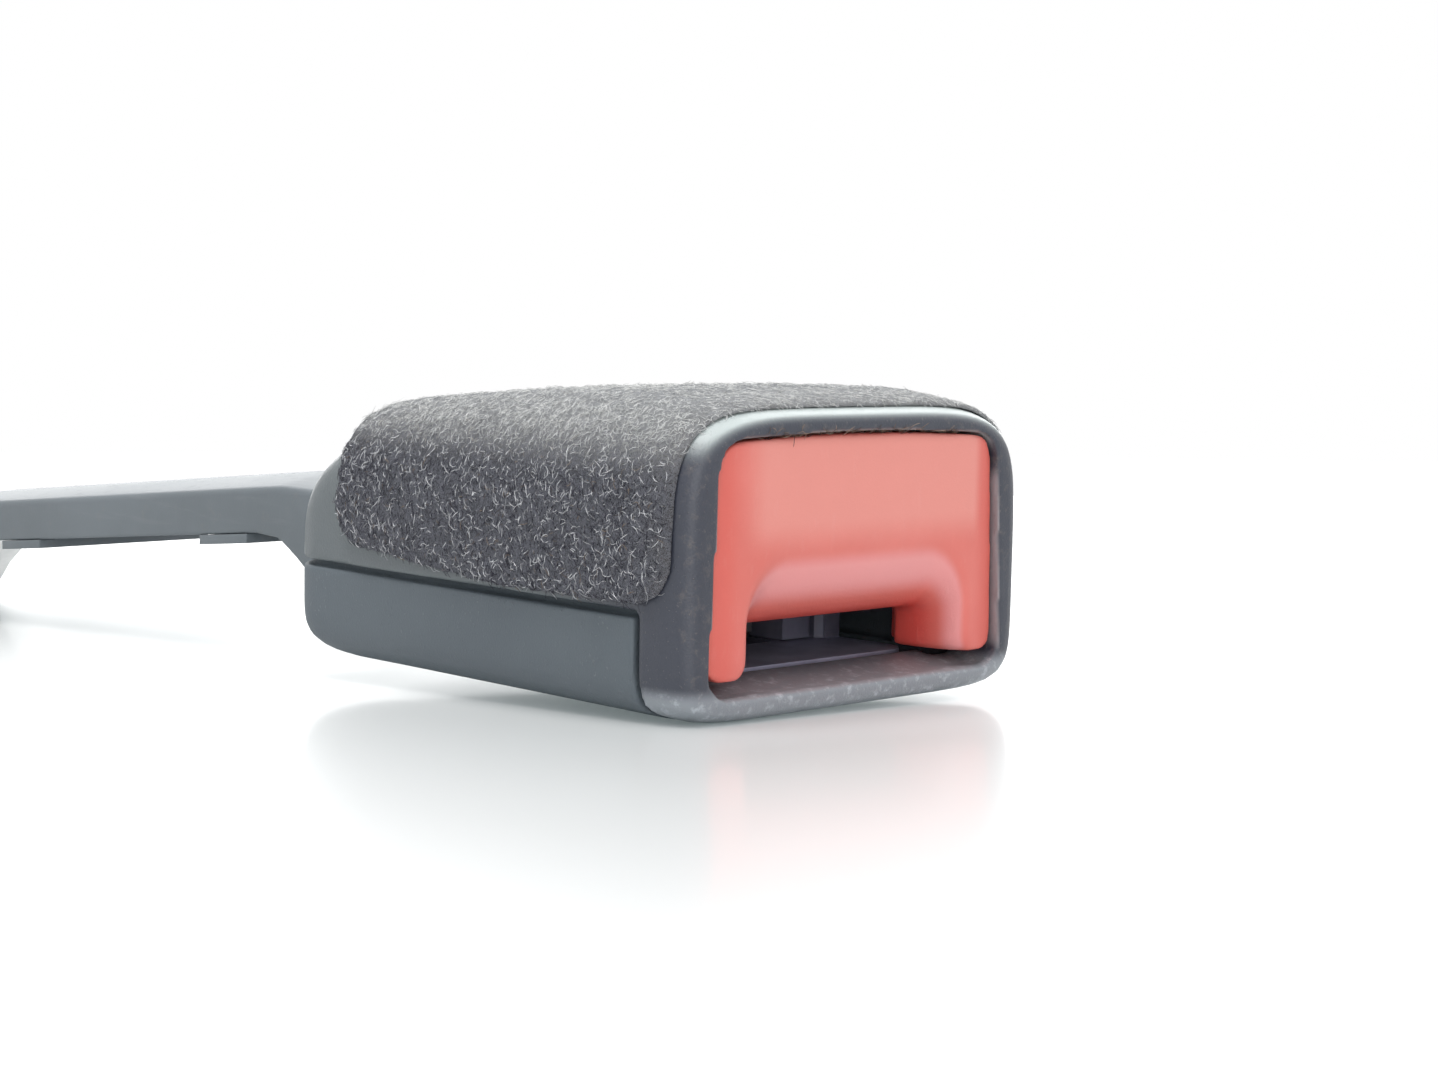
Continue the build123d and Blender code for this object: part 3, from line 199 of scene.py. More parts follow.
# ---------------------------------------------------------------------------------
# Lower shell: the tray. A thin-walled moulding in black satin polypropylene, open at
# the top. A lip stands behind the groove, and four snap hooks rise inside the hood.
LENGTH = 59.0
HALF_WIDTH, TAPER = 22.4, 0.8
ROOF, ROOF_FALL, KEEL = 21.5, 3.9, -5.47
REAR_CORNER, REAR_SLOPE = 6, 16
NOSE_ROUND = 2.6
WALL = 2.0
# The heights of the groove's two edges.
TRAY_TOP, HOOD_FOOT = 3.7, 4.3
# Cutting tools reach out of the casing as far as this.
PAST_SIDE, PAST_REAR, PAST_ROOF, PAST_KEEL = 28, 64, 32, -10.47


def end_loss(distance, length):
    """Share of a quarter ellipse's height that is lost at a distance from its end."""
    return 0.0 if distance >= length else 1 - math.sqrt(1 - (1 - distance / length) ** 2)


def casing_ring(y, inset, count=168):
    """The housing's cross-section at y, a wall's thickness further in."""
    from_rear = LENGTH - inset - y
    side_rounding, side_taper = 1.1 * end_loss(y, 1.1), 1.2 * max(0.0, 1 - y / 3.6)
    half_width = HALF_WIDTH - TAPER * y / LENGTH - inset - side_rounding - side_taper
    half_width -= (REAR_CORNER - inset) * end_loss(from_rear, REAR_CORNER - inset)
    level_roof, rear_roof, rear_edge = 6, 17.6, 6
    roof = ROOF - ROOF_FALL * (max(0.0, y - level_roof) / (LENGTH - level_roof)) ** 2
    roof_rounding, roof_taper = 0.6 * end_loss(y, 0.9), 0.9 * max(0.0, 1 - y / 3)
    rear_fall = (rear_roof - rear_edge) * end_loss(from_rear, REAR_SLOPE)
    top = roof - inset - roof_rounding - roof_taper - rear_fall
    bottom = KEEL + inset + 1.5 * end_loss(y, NOSE_ROUND) + 4.8 * end_loss(from_rear, 10)
    middle, half_height = (top + bottom) / 2, (top - bottom) / 2
    square_above, square_below, roof_lean = 5, 9, 0.5
    ring = []
    for i in range(count):
        angle = 2 * math.pi * i / count
        # Points gather at the corners, where the outline turns fastest.
        angle -= 0.16 * math.sin(4 * angle)
        across, upright = math.cos(angle), math.sin(angle)
        power = square_above if upright > 0 else square_below
        reach = (abs(across) ** power + abs(upright) ** power) ** (-1 / power)
        lean = roof_lean * max(0.0, reach * upright) ** 2 / half_width
        ring.append((half_width * reach * across * (1 - lean), y, middle + half_height * reach * upright))
    return ring


def stations(inset, start=0.0):
    """Distances along the housing, close together where its ends are rounded."""
    front_steps, middle_steps, rear_steps = 9, 16, 22
    end, rear = LENGTH - inset, LENGTH - REAR_SLOPE
    places = [NOSE_ROUND * (1 - math.cos(math.pi / 2 * i / front_steps)) for i in range(front_steps + 1)]
    places += [NOSE_ROUND + (rear - NOSE_ROUND) * i / middle_steps for i in range(1, middle_steps)]
    places += [rear + (end - rear) * math.sin(math.pi / 2 * i / rear_steps) for i in range(rear_steps + 1)]
    return [start] + [y for y in places if y > start + 0.05]


def solid(name, rings):
    """A closed mesh through rings of points in millimetres, capped at both ends."""
    mesh = bmesh.new()
    loops = [[mesh.verts.new(Vector(point) * MM) for point in ring] for ring in rings]
    for first, second in zip(loops, loops[1:]):
        for i in range(len(first)):
            j = (i + 1) % len(first)
            mesh.faces.new((first[i], first[j], second[j], second[i]))
    mesh.faces.new(loops[0][::-1])
    mesh.faces.new(loops[-1])
    bmesh.ops.recalc_face_normals(mesh, faces=mesh.faces[:])
    data = bpy.data.meshes.new(name)
    mesh.to_mesh(data)
    mesh.free()
    piece = bpy.data.objects.new(name, data)
    bpy.context.scene.collection.objects.link(piece)
    return piece


def across(name, outline, half_width):
    """A (y, z) outline carried across the width."""
    return solid(name, [[(x, y, z) for y, z in outline] for x in (-half_width, half_width)])


def along(name, outline, start, end):
    """An (x, z) outline carried from one y to another."""
    return solid(name, [[(x, y, z) for x, z in outline] for y in (start, end)])


def upright(name, outline, low, high):
    """An (x, y) outline carried from one height to another."""
    return solid(name, [[(x, y, z) for x, y in outline] for z in (low, high)])


def box(name, x_span, y_span, z_span):
    left, right = x_span
    low, high = z_span
    return along(name, [(left, low), (right, low), (right, high), (left, high)], *y_span)


def circle(across, upright, radius, count):
    """An outline round a centre."""
    turns = [2 * math.pi * i / count for i in range(count)]
    return [(across + radius * math.cos(turn), upright + radius * math.sin(turn)) for turn in turns]


def rounded(corners, steps=8):
    """An outline whose corners (a, b, radius) are rounded by arcs."""
    outline = []
    for i, (a, b, radius) in enumerate(corners):
        here = Vector((a, b))
        before = (Vector(corners[i - 1][:2]) - here).normalized()
        after = (Vector(corners[(i + 1) % len(corners)][:2]) - here).normalized()
        if radius <= 0:
            outline.append((a, b))
            continue
        half = before.angle(after) / 2
        middle = here + (before + after).normalized() * radius / math.sin(half)
        first = here + before * radius / math.tan(half) - middle
        last = here + after * radius / math.tan(half) - middle
        turn = first.angle_signed(last)
        for k in range(steps + 1):
            outline.append(tuple(middle + Matrix.Rotation(-turn * k / steps, 2) @ first))
    return outline


def plan(inset, front, radius):
    """The housing's plan outline from front to rear, a wall's thickness in."""
    wide, rear = HALF_WIDTH - TAPER * front / LENGTH - inset, LENGTH - inset
    narrow = HALF_WIDTH - TAPER - inset
    return rounded([(-wide, front, 0), (wide, front, 0), (narrow, rear, radius), (-narrow, rear, radius)])


def select_only(piece):
    bpy.ops.object.select_all(action="DESELECT")
    bpy.context.view_layer.objects.active = piece
    piece.select_set(True)


def apply_modifiers(piece):
    select_only(piece)
    for modifier in list(piece.modifiers):
        bpy.ops.object.modifier_apply(modifier=modifier.name)


def carve(piece, operation, *tools):
    """Cuts tools from a piece, joins them to it or keeps what they share."""
    for tool in tools:
        modifier = piece.modifiers.new("carve", "BOOLEAN")
        modifier.object = tool
        modifier.operation = operation
        modifier.solver = "EXACT"
        apply_modifiers(piece)
        bpy.data.objects.remove(tool)


def mould(piece, grain, passes):
    """Gives a moulding its even skin and slightly rounded edges."""
    select_only(piece)
    bpy.ops.object.mode_set(mode="EDIT")
    bpy.ops.mesh.select_all(action="SELECT")
    bpy.ops.mesh.fill_holes(sides=0)
    bpy.ops.object.mode_set(mode="OBJECT")
    remesh = piece.modifiers.new("skin", "REMESH")
    remesh.mode = "VOXEL"
    remesh.voxel_size = grain * MM
    smooth = piece.modifiers.new("edges", "SMOOTH")
    smooth.factor = 0.5
    smooth.iterations = passes
    apply_modifiers(piece)
    bpy.ops.object.shade_smooth()


def passage():
    """The way through the rear wall for the strap and its sleeve."""
    return box("passage", (-12.3, 12.3), (54, PAST_REAR), (-3.0, 11.55))


tray = solid("tray", [casing_ring(y, 0) for y in stations(0)])
below_groove = [(-6.1, PAST_KEEL), (5.9, -4.22), (5.9, TRAY_TOP), (PAST_REAR, TRAY_TOP),
                (PAST_REAR, PAST_KEEL)]
carve(tray, "INTERSECT", across("below_groove", below_groove, PAST_SIDE))
carve(tray, "UNION", upright("lip", plan(1.15, 6.3, 4.85), 2.7, 5.6))
carve(tray, "DIFFERENCE",
      upright("hollow", plan(WALL, 5.3, 4.0), -2.4, 8),
      upright("hollow_floor", plan(3.6, 5.0, 2.6), KEEL + WALL, 0),
      box("frame_well", (-15.5, 15.5), (5.0, 53.3), (-4.22, 0)),
      passage())
hook = [(18.5, 0), (20.65, 0), (20.65, 3.7), (19.45, 3.7), (19.45, 6.6), (20.05, 6.6), (19.45, 8.4),
        (18.5, 8.4)]
half_hook = 2.5
for side in (-1, 1):
    for y in (19.4, 42.5):
        outline = [(side * x, z) for x, z in hook]
        carve(tray, "UNION", along("hook", outline, y - half_hook, y + half_hook))
mould(tray, grain=0.3, passes=3)
tray.name = "tray_moulding"
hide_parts("lower_shell")
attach(tray, "housing")


def new_finish(name, **constants):
    """A finish whose shader has these constants; returns it, its shader and its Object coordinates."""
    finish = bpy.data.materials.new(name)
    finish.use_nodes = True
    shader = finish.node_tree.nodes["Principled BSDF"]
    for socket, value in constants.items():
        shader.inputs[socket.replace("_", " ")].default_value = value
    return finish, shader, Wire(finish.node_tree).node("TexCoord", output="Object")


def feed(shader, **wires):
    for socket, wire in wires.items():
        wire.tree.links.new(wire.socket, shader.inputs[socket.replace("_", " ")])


def bump(height, strength, depth):
    return height.node("Bump", {}, {"Height": height, "Strength": strength, "Distance": depth})


def wear(piece, finish):
    piece.data.materials.clear()
    piece.data.materials.append(finish)


casing_finish, shader, place = new_finish("casing_black", Roughness=0.5, Specular_IOR_Level=0.5)
smudge = place.noise(55, 4, 0.6)
grain = place.noise(5200, 2, 0.6)
speck = place.noise(2600, 1, 0.5).between(0.66, 0.74)
dust_patch = place.noise(140, 3, 0.6).between(0.45, 0.75)
base = smudge.between(0.3, 0.7).blend((0.094, 0.114, 0.131), (0.111, 0.133, 0.150))
base = (speck * dust_patch * 0.3).blend(base, (0.32, 0.32, 0.32))
feed(shader, Base_Color=base, Roughness=0.44 + smudge * 0.14 + grain * 0.06,
     Normal=bump(grain + speck * 0.6, 0.6, 0.00009))
wear(tray, casing_finish)


# ---------------------------------------------------------------------------------
# Upper shell: roof, sides and the whole bezel in one black satin moulding. Its nose
# wraps under the tray's front, and the funnel's floor rises behind the lower lip.
ARM_X = 16.85


def opening(gap, low, low_round):
    """The bezel's opening, or the button's outline a gap inside it, as (x, z)."""
    wide, narrow = 19.0 - gap, 17.9 - gap
    shoulder, shoulder_round, rise = 18.55 - gap, 2.8 - gap, 0.6
    crown = [(narrow * s, shoulder + rise * (1 - s * s), 0) for s in (0.75, 0.5, 0.25, 0, -0.25, -0.5, -0.75)]
    corners = [(-wide, low, low_round), (wide, low, low_round), (narrow, shoulder, shoulder_round)]
    return rounded(corners + crown + [(-narrow, shoulder, shoulder_round)], 12)


hood = solid("hood", [casing_ring(y, 0) for y in stations(0)])
above_groove = [(-6.7, PAST_KEEL), (5.3, -4.22), (5.3, HOOD_FOOT), (PAST_REAR, HOOD_FOOT),
                (PAST_REAR, PAST_ROOF), (-6.7, PAST_ROOF)]
carve(hood, "INTERSECT", across("above_groove", above_groove, PAST_SIDE))
carve(hood, "DIFFERENCE",
      upright("rebate", plan(1.0, 5.9, 5.0), 3.6, 5.75),
      passage(),
      solid("hollow", [casing_ring(y, WALL, 96) for y in stations(WALL, 8.0)]))
ramp_outline = [(4.3, -1.8), (7.0, -1.8), (7.0, -3.92), (4.3, -3.92)]
carve(hood, "UNION", across("funnel_ramp", ramp_outline, 15.2))
mouth = [(-1, -3.1), (2.0, -3.1), (7.0, -2.2), (8.5, -2.2)]
carve(hood, "DIFFERENCE", solid("mouth", [[(x, y, z) for x, z in opening(0, low, 2.2)] for y, low in mouth]))
for x in (-6.6, 6.6):
    carve(hood, "UNION", box("rib", (x - 0.7, x + 0.7), (18.5, 25), (14.9, 19.6)))
for x in (-ARM_X, ARM_X):
    carve(hood, "UNION", box("spring_seat", (x - 2.6, x + 2.6), (48, 49.6), (6.6, 16.6)))
mould(hood, grain=0.34, passes=3)
hood.name = "hood_moulding"
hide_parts("upper_shell")
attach(hood, "housing")

bezel_finish, shader, place = new_finish("bezel_black", Roughness=0.5, Specular_IOR_Level=0.55,
                                         Coat_Weight=0.2, Coat_Roughness=0.28)
smudge = place.noise(60, 4, 0.6)
grain = place.noise(4800, 2, 0.6)
speck = place.noise(3600, 1, 0.5).between(0.68, 0.76)
y, z = place.part("Y"), place.part("Z")
lip = (1 - z.between(-0.0036, -0.0024)) * y.between(-0.001, 0.0012)
nose = 1 - y.between(0.0005, 0.0022)
edge_dust = place.noise(900, 4, 0.7).between(0.5, 0.72)
base = smudge.between(0.3, 0.7).blend((0.030, 0.034, 0.051), (0.041, 0.046, 0.064))
base = y.between(0.004, 0.022).blend(base, (0.112, 0.130, 0.138))
base = (edge_dust * nose * 0.28).blend(base, (0.21, 0.18, 0.16))
# The lower lip is painted paler and bluer: partly a painted reflection of the top light, partly dust.
base = (lip * (0.6 + edge_dust * 0.3)).blend(base, (0.160, 0.188, 0.194))
# The funnel's floor behind the lip is painted pale: partly a painted reflection of the top light, partly
# mottled dust.
ramp = (1 - z.between(-0.0031, -0.0018)) * (1 - y.between(0.0066, 0.0076))
base = (ramp * (0.45 + edge_dust * 0.45)).blend(base, (0.50, 0.53, 0.57))
base = (speck * 0.12).blend(base, (0.30, 0.30, 0.30))
# Painted highlight: the bezel's upper front edge is painted pale grey-blue for the top light's reflection.
crown = z.between(0.0165, 0.0200) * y.between(0.0, 0.0006) * (1 - y.between(0.008, 0.014))
base = (crown * 0.85).blend(base, (0.60, 0.66, 0.645))
# A thin paler line is painted along the opening's side edges.
rim = 1 - abs(abs(place.part("X")) + z * 0.0508 - 0.01885).between(0.00004, 0.00026)
rim = rim * nose * z.between(-0.0022, -0.0005) * (1 - z.between(0.0140, 0.0158))
base = (rim * 0.6).blend(base, (0.42, 0.38, 0.39))
feed(shader, Base_Color=base, Roughness=0.38 + smudge * 0.12 + edge_dust * 0.10,
     Normal=bump(grain + speck, 0.6, 0.00009))
wear(hood, bezel_finish)


# ---------------------------------------------------------------------------------
# Felt pad: a 1.2 mm needle felt of dark grey wool mix, glued over the roof and down
# both sides so that the buckle doesn't rattle or scratch. Its nap has loose fibres.
def copy_of_model(node, name):
    """A free copy of one of the model's pieces."""
    made = frame["nodes"][node].copy()
    made.data = made.data.copy()
    made.name = name
    made.parent = None
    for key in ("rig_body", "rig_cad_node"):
        if key in made:
            del made[key]
    bpy.context.scene.collection.objects.link(made)
    return made


felt = copy_of_model("felt_pad", "felt_cloth")
mesh = bmesh.new()
mesh.from_mesh(felt.data)
bmesh.ops.remove_doubles(mesh, verts=mesh.verts[:], dist=0.000002)
mesh.to_mesh(felt.data)
mesh.free()
mould(felt, grain=0.34, passes=2)
spots = np.array([v.co for v in felt.data.vertices])
normals = np.array([v.normal for v in felt.data.vertices])


def lumps(points, size, seed):
    """Smooth random height, from sums of sine waves in random directions."""
    waves = 26
    source = np.random.default_rng(seed)
    height = np.zeros(len(points))
    for _ in range(waves):
        way = source.normal(size=3)
        way *= 2 * np.pi / (size * MM * source.uniform(0.7, 1.5)) / np.linalg.norm(way)
        height += np.sin(points @ way + source.uniform(0, 2 * np.pi))
    return height / math.sqrt(waves / 2)


# Broad and fine lumps, in millimetres.
rise = 0.035 * lumps(spots, 3.0, 1) + 0.05 * lumps(spots, 1.1, 2) + 0.03
# Towards the bezel the felt is pressed thinner, until it lies flush with the rim.
CLEAR_OF_BEZEL, EASE, PRESSED = 2.4, 8, 0.3
casing = BVHTree.FromObject(hood, bpy.context.evaluated_depsgraph_get())
for vertex, normal, height in zip(felt.data.vertices, normals, rise):
    behind = min(1.0, max(0.0, (vertex.co.y / MM - CLEAR_OF_BEZEL) / EASE))
    beneath = casing.find_nearest(vertex.co)[0]
    vertex.co = beneath + (vertex.co - beneath) * (PRESSED + (1 - PRESSED) * behind)
    vertex.co += Vector(normal) * float(height) * behind ** 0.5 * MM
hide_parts("felt_pad")
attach(felt, "housing")

felt_finish, shader, place = new_finish("felt_grey", Roughness=0.95, Specular_IOR_Level=0.1,
                                        Sheen_Weight=0.5, Sheen_Roughness=0.5)
shader.inputs["Sheen Tint"].default_value = (0.8, 0.82, 0.9, 1)
curls = abs(place.noise(1500, 4, 0.7, 2.6) - 0.5)
strands = 1 - curls.between(0.0, 0.06)
holes = place.noise(2300, 3, 0.7, 0.8).between(0.38, 0.58)
tuft = place.noise(330, 3, 0.6).between(0.3, 0.7)
base = tuft.blend((0.040, 0.039, 0.052), (0.066, 0.064, 0.082))
base = (1 - holes).blend(base, (0.005, 0.005, 0.009))
base = (strands * 0.5).blend(base, (0.34, 0.34, 0.38))
# The felt's roof is painted paler: settled dust, and a painted sheen of the top light.
roof_dust_and_sheen = place.part("Z").between(0.0150, 0.0210)
base = (roof_dust_and_sheen * 0.75).blend(base, (0.58, 0.58, 0.565))
front_dust = (1 - place.part("Y").between(0.0015, 0.006)) * place.noise(500, 4, 0.7).between(0.35, 0.65)
base = (front_dust * 0.4).blend(base, (0.16, 0.14, 0.12))
feed(shader, Base_Color=base, Normal=bump(holes + strands * 0.8 + tuft, 0.9, 0.0003))
wear(felt, felt_finish)


def nap(name, host, count, seed, keep, length, lift, thickness):
    """Loose fibres on a cloth: thin three-sided strands that curl over its face."""
    steps, sunk, most_curl, tapering = 4, 0.04, 2.6, 0.55
    source = np.random.default_rng(seed)
    centres = np.array([f.center for f in host.data.polygons])
    faces = np.array([f.normal for f in host.data.polygons])
    areas = np.array([f.area for f in host.data.polygons]) * keep(centres, faces)
    picks = source.choice(len(areas), size=count, p=areas / areas.sum())
    normal = faces[picks]
    way = np.cross(normal, source.normal(size=(count, 3)))
    way /= np.linalg.norm(way, axis=1, keepdims=True)
    side = np.cross(normal, way)
    stride = (length * source.uniform(0.5, 1.5, (count, 1)) * MM) / (steps - 1)
    curl = source.uniform(-most_curl, most_curl, (count, 1))
    height = lift * source.uniform(0.1, 1.0, (count, 1)) ** 2 * MM
    spot = centres[picks] - normal * sunk * MM
    corners = []
    for step in range(steps):
        share = step / (steps - 1)
        head = way * np.cos(curl * share) + side * np.sin(curl * share)
        beside = np.cross(head, normal)
        raised = spot + normal * height * math.sin(math.pi * (0.15 + 0.8 * share))
        girth = thickness * MM * (1.0 - tapering * abs(2 * share - 1))
        for corner in range(3):
            angle = 2 * math.pi * corner / 3
            corners.append(raised + (beside * math.cos(angle) + normal * math.sin(angle)) * girth)
        spot = spot + head * stride
    points = np.stack(corners, axis=1).reshape(-1, 3)
    strand = [(3 * step + corner, 3 * step + 3 + corner, 3 * step + 3 + (corner + 1) % 3,
               3 * step + (corner + 1) % 3) for step in range(steps - 1) for corner in range(3)]
    ends = [(0, 1, 2), (3 * steps - 1, 3 * steps - 2, 3 * steps - 3)]
    skin = [tuple(3 * steps * i + k for k in face) for i in range(count) for face in strand + ends]
    data = bpy.data.meshes.new(name)
    data.from_pydata(points.tolist(), [], skin)
    shades = np.repeat(source.uniform(0, 1, count), 3 * steps)
    data.attributes.new("shade", "FLOAT", "POINT").data.foreach_set("value", shades)
    data.update()
    made = bpy.data.objects.new(name, data)
    bpy.context.scene.collection.objects.link(made)
    select_only(made)
    bpy.ops.object.shade_smooth()
    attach(made, "housing")
    return made


def flank(side):
    """Faces of one flank that look out from the housing."""
    def keep(centres, faces):
        outward, own_half = faces[:, 0] * side > 0.5, centres[:, 0] * side > 0
        return outward & own_half & (centres[:, 1] > CLEAR_OF_BEZEL * MM)
    return keep


def roof(front, rear):
    """Faces of the roof between two distances from the bezel."""
    def keep(centres, faces):
        return (faces[:, 2] > 0.35) & (centres[:, 1] > front * MM) & (centres[:, 1] < rear * MM)
    return keep


def gap_over_button(centres, faces):
    """Faces of the bezel's opening that look down at the button's upper edge."""
    above, in_front = centres[:, 2] > 18 * MM, centres[:, 1] < 1.4 * MM
    return above & in_front & (abs(centres[:, 0]) < 13 * MM) & (faces[:, 2] < -0.1)


fibre_finish, shader, place = new_finish("felt_fibre", Roughness=0.6, Specular_IOR_Level=0.4)
shade = place.node("Attribute", {"attribute_name": "shade"}, {}, "Fac")
base = shade.between(0.5, 1.0).blend((0.022, 0.021, 0.034), (0.98, 0.98, 1.0))
base = (1 - shade.between(0.0, 0.05)).blend(base, (0.34, 0.25, 0.17))
# Fibres on the roof are painted paler: settled dust, and a painted sheen of the top light.
base = (place.part("Z").between(0.0145, 0.0205) * 0.85).blend(base, (0.82, 0.82, 0.80))
feed(shader, Base_Color=base)
naps = [nap("felt_nap_left", felt, 9800, 11, flank(-1), length=0.8, lift=0.13, thickness=0.029),
        nap("felt_nap_right", felt, 9800, 12, flank(1), length=0.8, lift=0.13, thickness=0.029),
        nap("felt_nap_front", felt, 9800, 13, roof(0, 24), length=0.7, lift=0.13, thickness=0.030),
        nap("felt_nap_rear", felt, 9800, 14, roof(24, 60), length=0.75, lift=0.16, thickness=0.030)]
for made in naps:
    wear(made, fibre_finish)
lint_finish, shader, place = new_finish("gap_lint", Roughness=0.8)
shade = place.node("Attribute", {"attribute_name": "shade"}, {}, "Fac")
feed(shader, Base_Color=shade.between(0.1, 0.9).blend((0.050, 0.035, 0.030), (0.28, 0.20, 0.15)))
lint = nap("gap_lint", hood, 130, 21, gap_over_button, length=1.1, lift=0.35, thickness=0.04)
wear(lint, lint_finish)


# ---------------------------------------------------------------------------------
# Release button: one glossy red acetal moulding, with a rounded band down each side of
# its face, a funnel to the slot, and two arms inside that carry the lock bar.
FACE, FOOT = 0.3, -1.75


def funnel_outline(half_width, top, corner, foot):
    """The funnel's section as (x, z): rounded above, and wider below round the legs' feet."""
    flare = half_width + foot
    turns = [math.pi / 2 * i / 6 for i in range(7)]
    heel = [(flare - foot * math.sin(turn), FOOT + foot * (1 - math.cos(turn)), 0) for turn in turns]
    crown = [(half_width, top, corner), (-half_width, top, corner)]
    other_heel = [(-x, z, 0) for x, z, _ in heel[::-1]]
    return rounded([(-flare, -6, 0), (flare, -6, 0)] + heel + crown + other_heel, 14)


button = along("button", opening(0.25, FOOT, 1.9), 0, 11)
# The face falls away in a rounded band down each side.
edge, band_width, drop = 18.75, 4.2, 0.6
band = [(edge - band_width * (1 - s), FACE + drop * s ** 2) for s in (0, 0.2, 0.4, 0.6, 0.8, 1.0)]
outside = [(edge + 1, FACE + drop * 1.4), (edge + 1, 12), (-edge - 1, 12), (-edge - 1, FACE + drop * 1.4)]
outline = band + outside + [(-x, y) for x, y in band[::-1]]
carve(button, "INTERSECT", upright("bands", outline, -4, 20))
profile = rounded([(FACE, FOOT, 0.6), (11, FOOT, 0), (11, 18.9, 0), (FACE, 18.9, 0.8)])
carve(button, "INTERSECT", across("soft_edges", profile, 20))
# The funnel's walls are quarter ellipses that meet the face in a soft crease.
crease, funnel_depth, funnel_steps = 0.2, 6.3, 12
funnel_mouth, funnel_throat = (14.5, 9.6, 6.6, 1.9), (12.75, 2.15, 0.8, 0.7)
funnel = [(FACE - 1.0, *funnel_mouth)]
for step in range(funnel_steps + 1):
    turn = crease + (math.pi / 2 - crease) * step / funnel_steps
    sink = (math.sin(turn) - math.sin(crease)) / (1 - math.sin(crease))
    depth = funnel_depth * (math.cos(crease) - math.cos(turn)) / math.cos(crease)
    shape = [wide - (wide - tight) * sink for wide, tight in zip(funnel_mouth, funnel_throat)]
    funnel.append((FACE + depth, *shape))
funnel.append((12, *funnel_throat))
rings = [[(x, y, z) for x, z in funnel_outline(*shape)] for y, *shape in funnel]
carve(button, "DIFFERENCE",
      solid("funnel", rings),
      box("behind_face", (-15.55, 15.55), (3.2, 12), (10.4, 16.2)),
      box("above_throat", (-15.55, 15.55), (7.9, 12), (4.05, 11.0)),
      box("behind_legs", (-15.9, 15.9), (7.9, 12), (-4, 4.3)))
ARM_HEIGHT = 9.4
arm = rounded([(9, 4.1, 0), (14, 6.6, 0), (34, 6.6, 1.5), (34, 12.2, 1.5), (14, 12.2, 0), (9, 14.7, 0)], 5)
for side in (-1, 1):
    flanks = sorted((side * 15.8, side * 17.9))
    carve(button, "UNION", solid("arm", [[(x, y, z) for y, z in arm] for x in flanks]))
    carve(button, "UNION", along("spigot", circle(side * ARM_X, ARM_HEIGHT, 0.9, 20), 33.6, 36.0))
carve(button, "DIFFERENCE", across("bar_hole", circle(28.4, ARM_HEIGHT, 1.72, 28), 20))
mould(button, grain=0.26, passes=5)
button.name = "button_moulding"
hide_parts("release_button")
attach(button, "button")

button_finish, shader, place = new_finish("button_red", Specular_IOR_Level=0.5)
smudge = place.noise(75, 4, 0.6)
grain = place.noise(5200, 2, 0.6)
scuff = place.stretched(1, 1, 0.3).noise(900, 4, 0.75).between(0.56, 0.7)
x = abs(place.part("X"))
y, z = place.part("Y"), place.part("Z")
across_face = place.part("X")
# The face between the side bands is painted paler: partly wear, partly painted light where the face turns up
# towards the top light.
worn_and_lit_face = across_face.between(-0.0156, -0.0118) * (1 - across_face.between(0.0148, 0.0164))
worn_and_lit_face = worn_and_lit_face * (1 - y.between(0.0004, 0.0009)) * z.between(0.0082, 0.0118)
low = 1 - z.between(-0.002, 0.006)
base = smudge.between(0.3, 0.7).blend((0.72, 0.165, 0.132), (0.77, 0.195, 0.160))
base = (worn_and_lit_face * 0.75).blend(base, (0.82, 0.315, 0.265))
# Painted shade: the button is painted darker red towards its bottom, where less of the top light falls.
base = (low * 0.3).blend(base, (0.72, 0.14, 0.12))
# Painted shade: both side bands are painted darker red where they turn away from the light.
base = (x.between(0.0150, 0.0170) * 0.75).blend(base, (0.72, 0.125, 0.095))
glint = y.between(0.0004, 0.0009) * (1 - y.between(0.0014, 0.0030)) * (1 - x.between(0.0142, 0.0150))
base = (glint * (1 - z.between(0.0096, 0.0102)) * 0.7).blend(base, (0.86, 0.37, 0.37))
# Painted shade: the funnel is painted a deeper, darker red further in, towards the slot.
base = (y.between(0.0022, 0.0054) * 0.85).blend(base, (0.76, 0.085, 0.068))
base = (scuff * 0.05).blend(base, (0.85, 0.50, 0.45))
feed(shader, Base_Color=base, Roughness=0.34 + smudge * 0.12 + scuff * 0.1,
     Normal=bump(grain + scuff * 0.5, 0.4, 0.00006))
wear(button, button_finish)


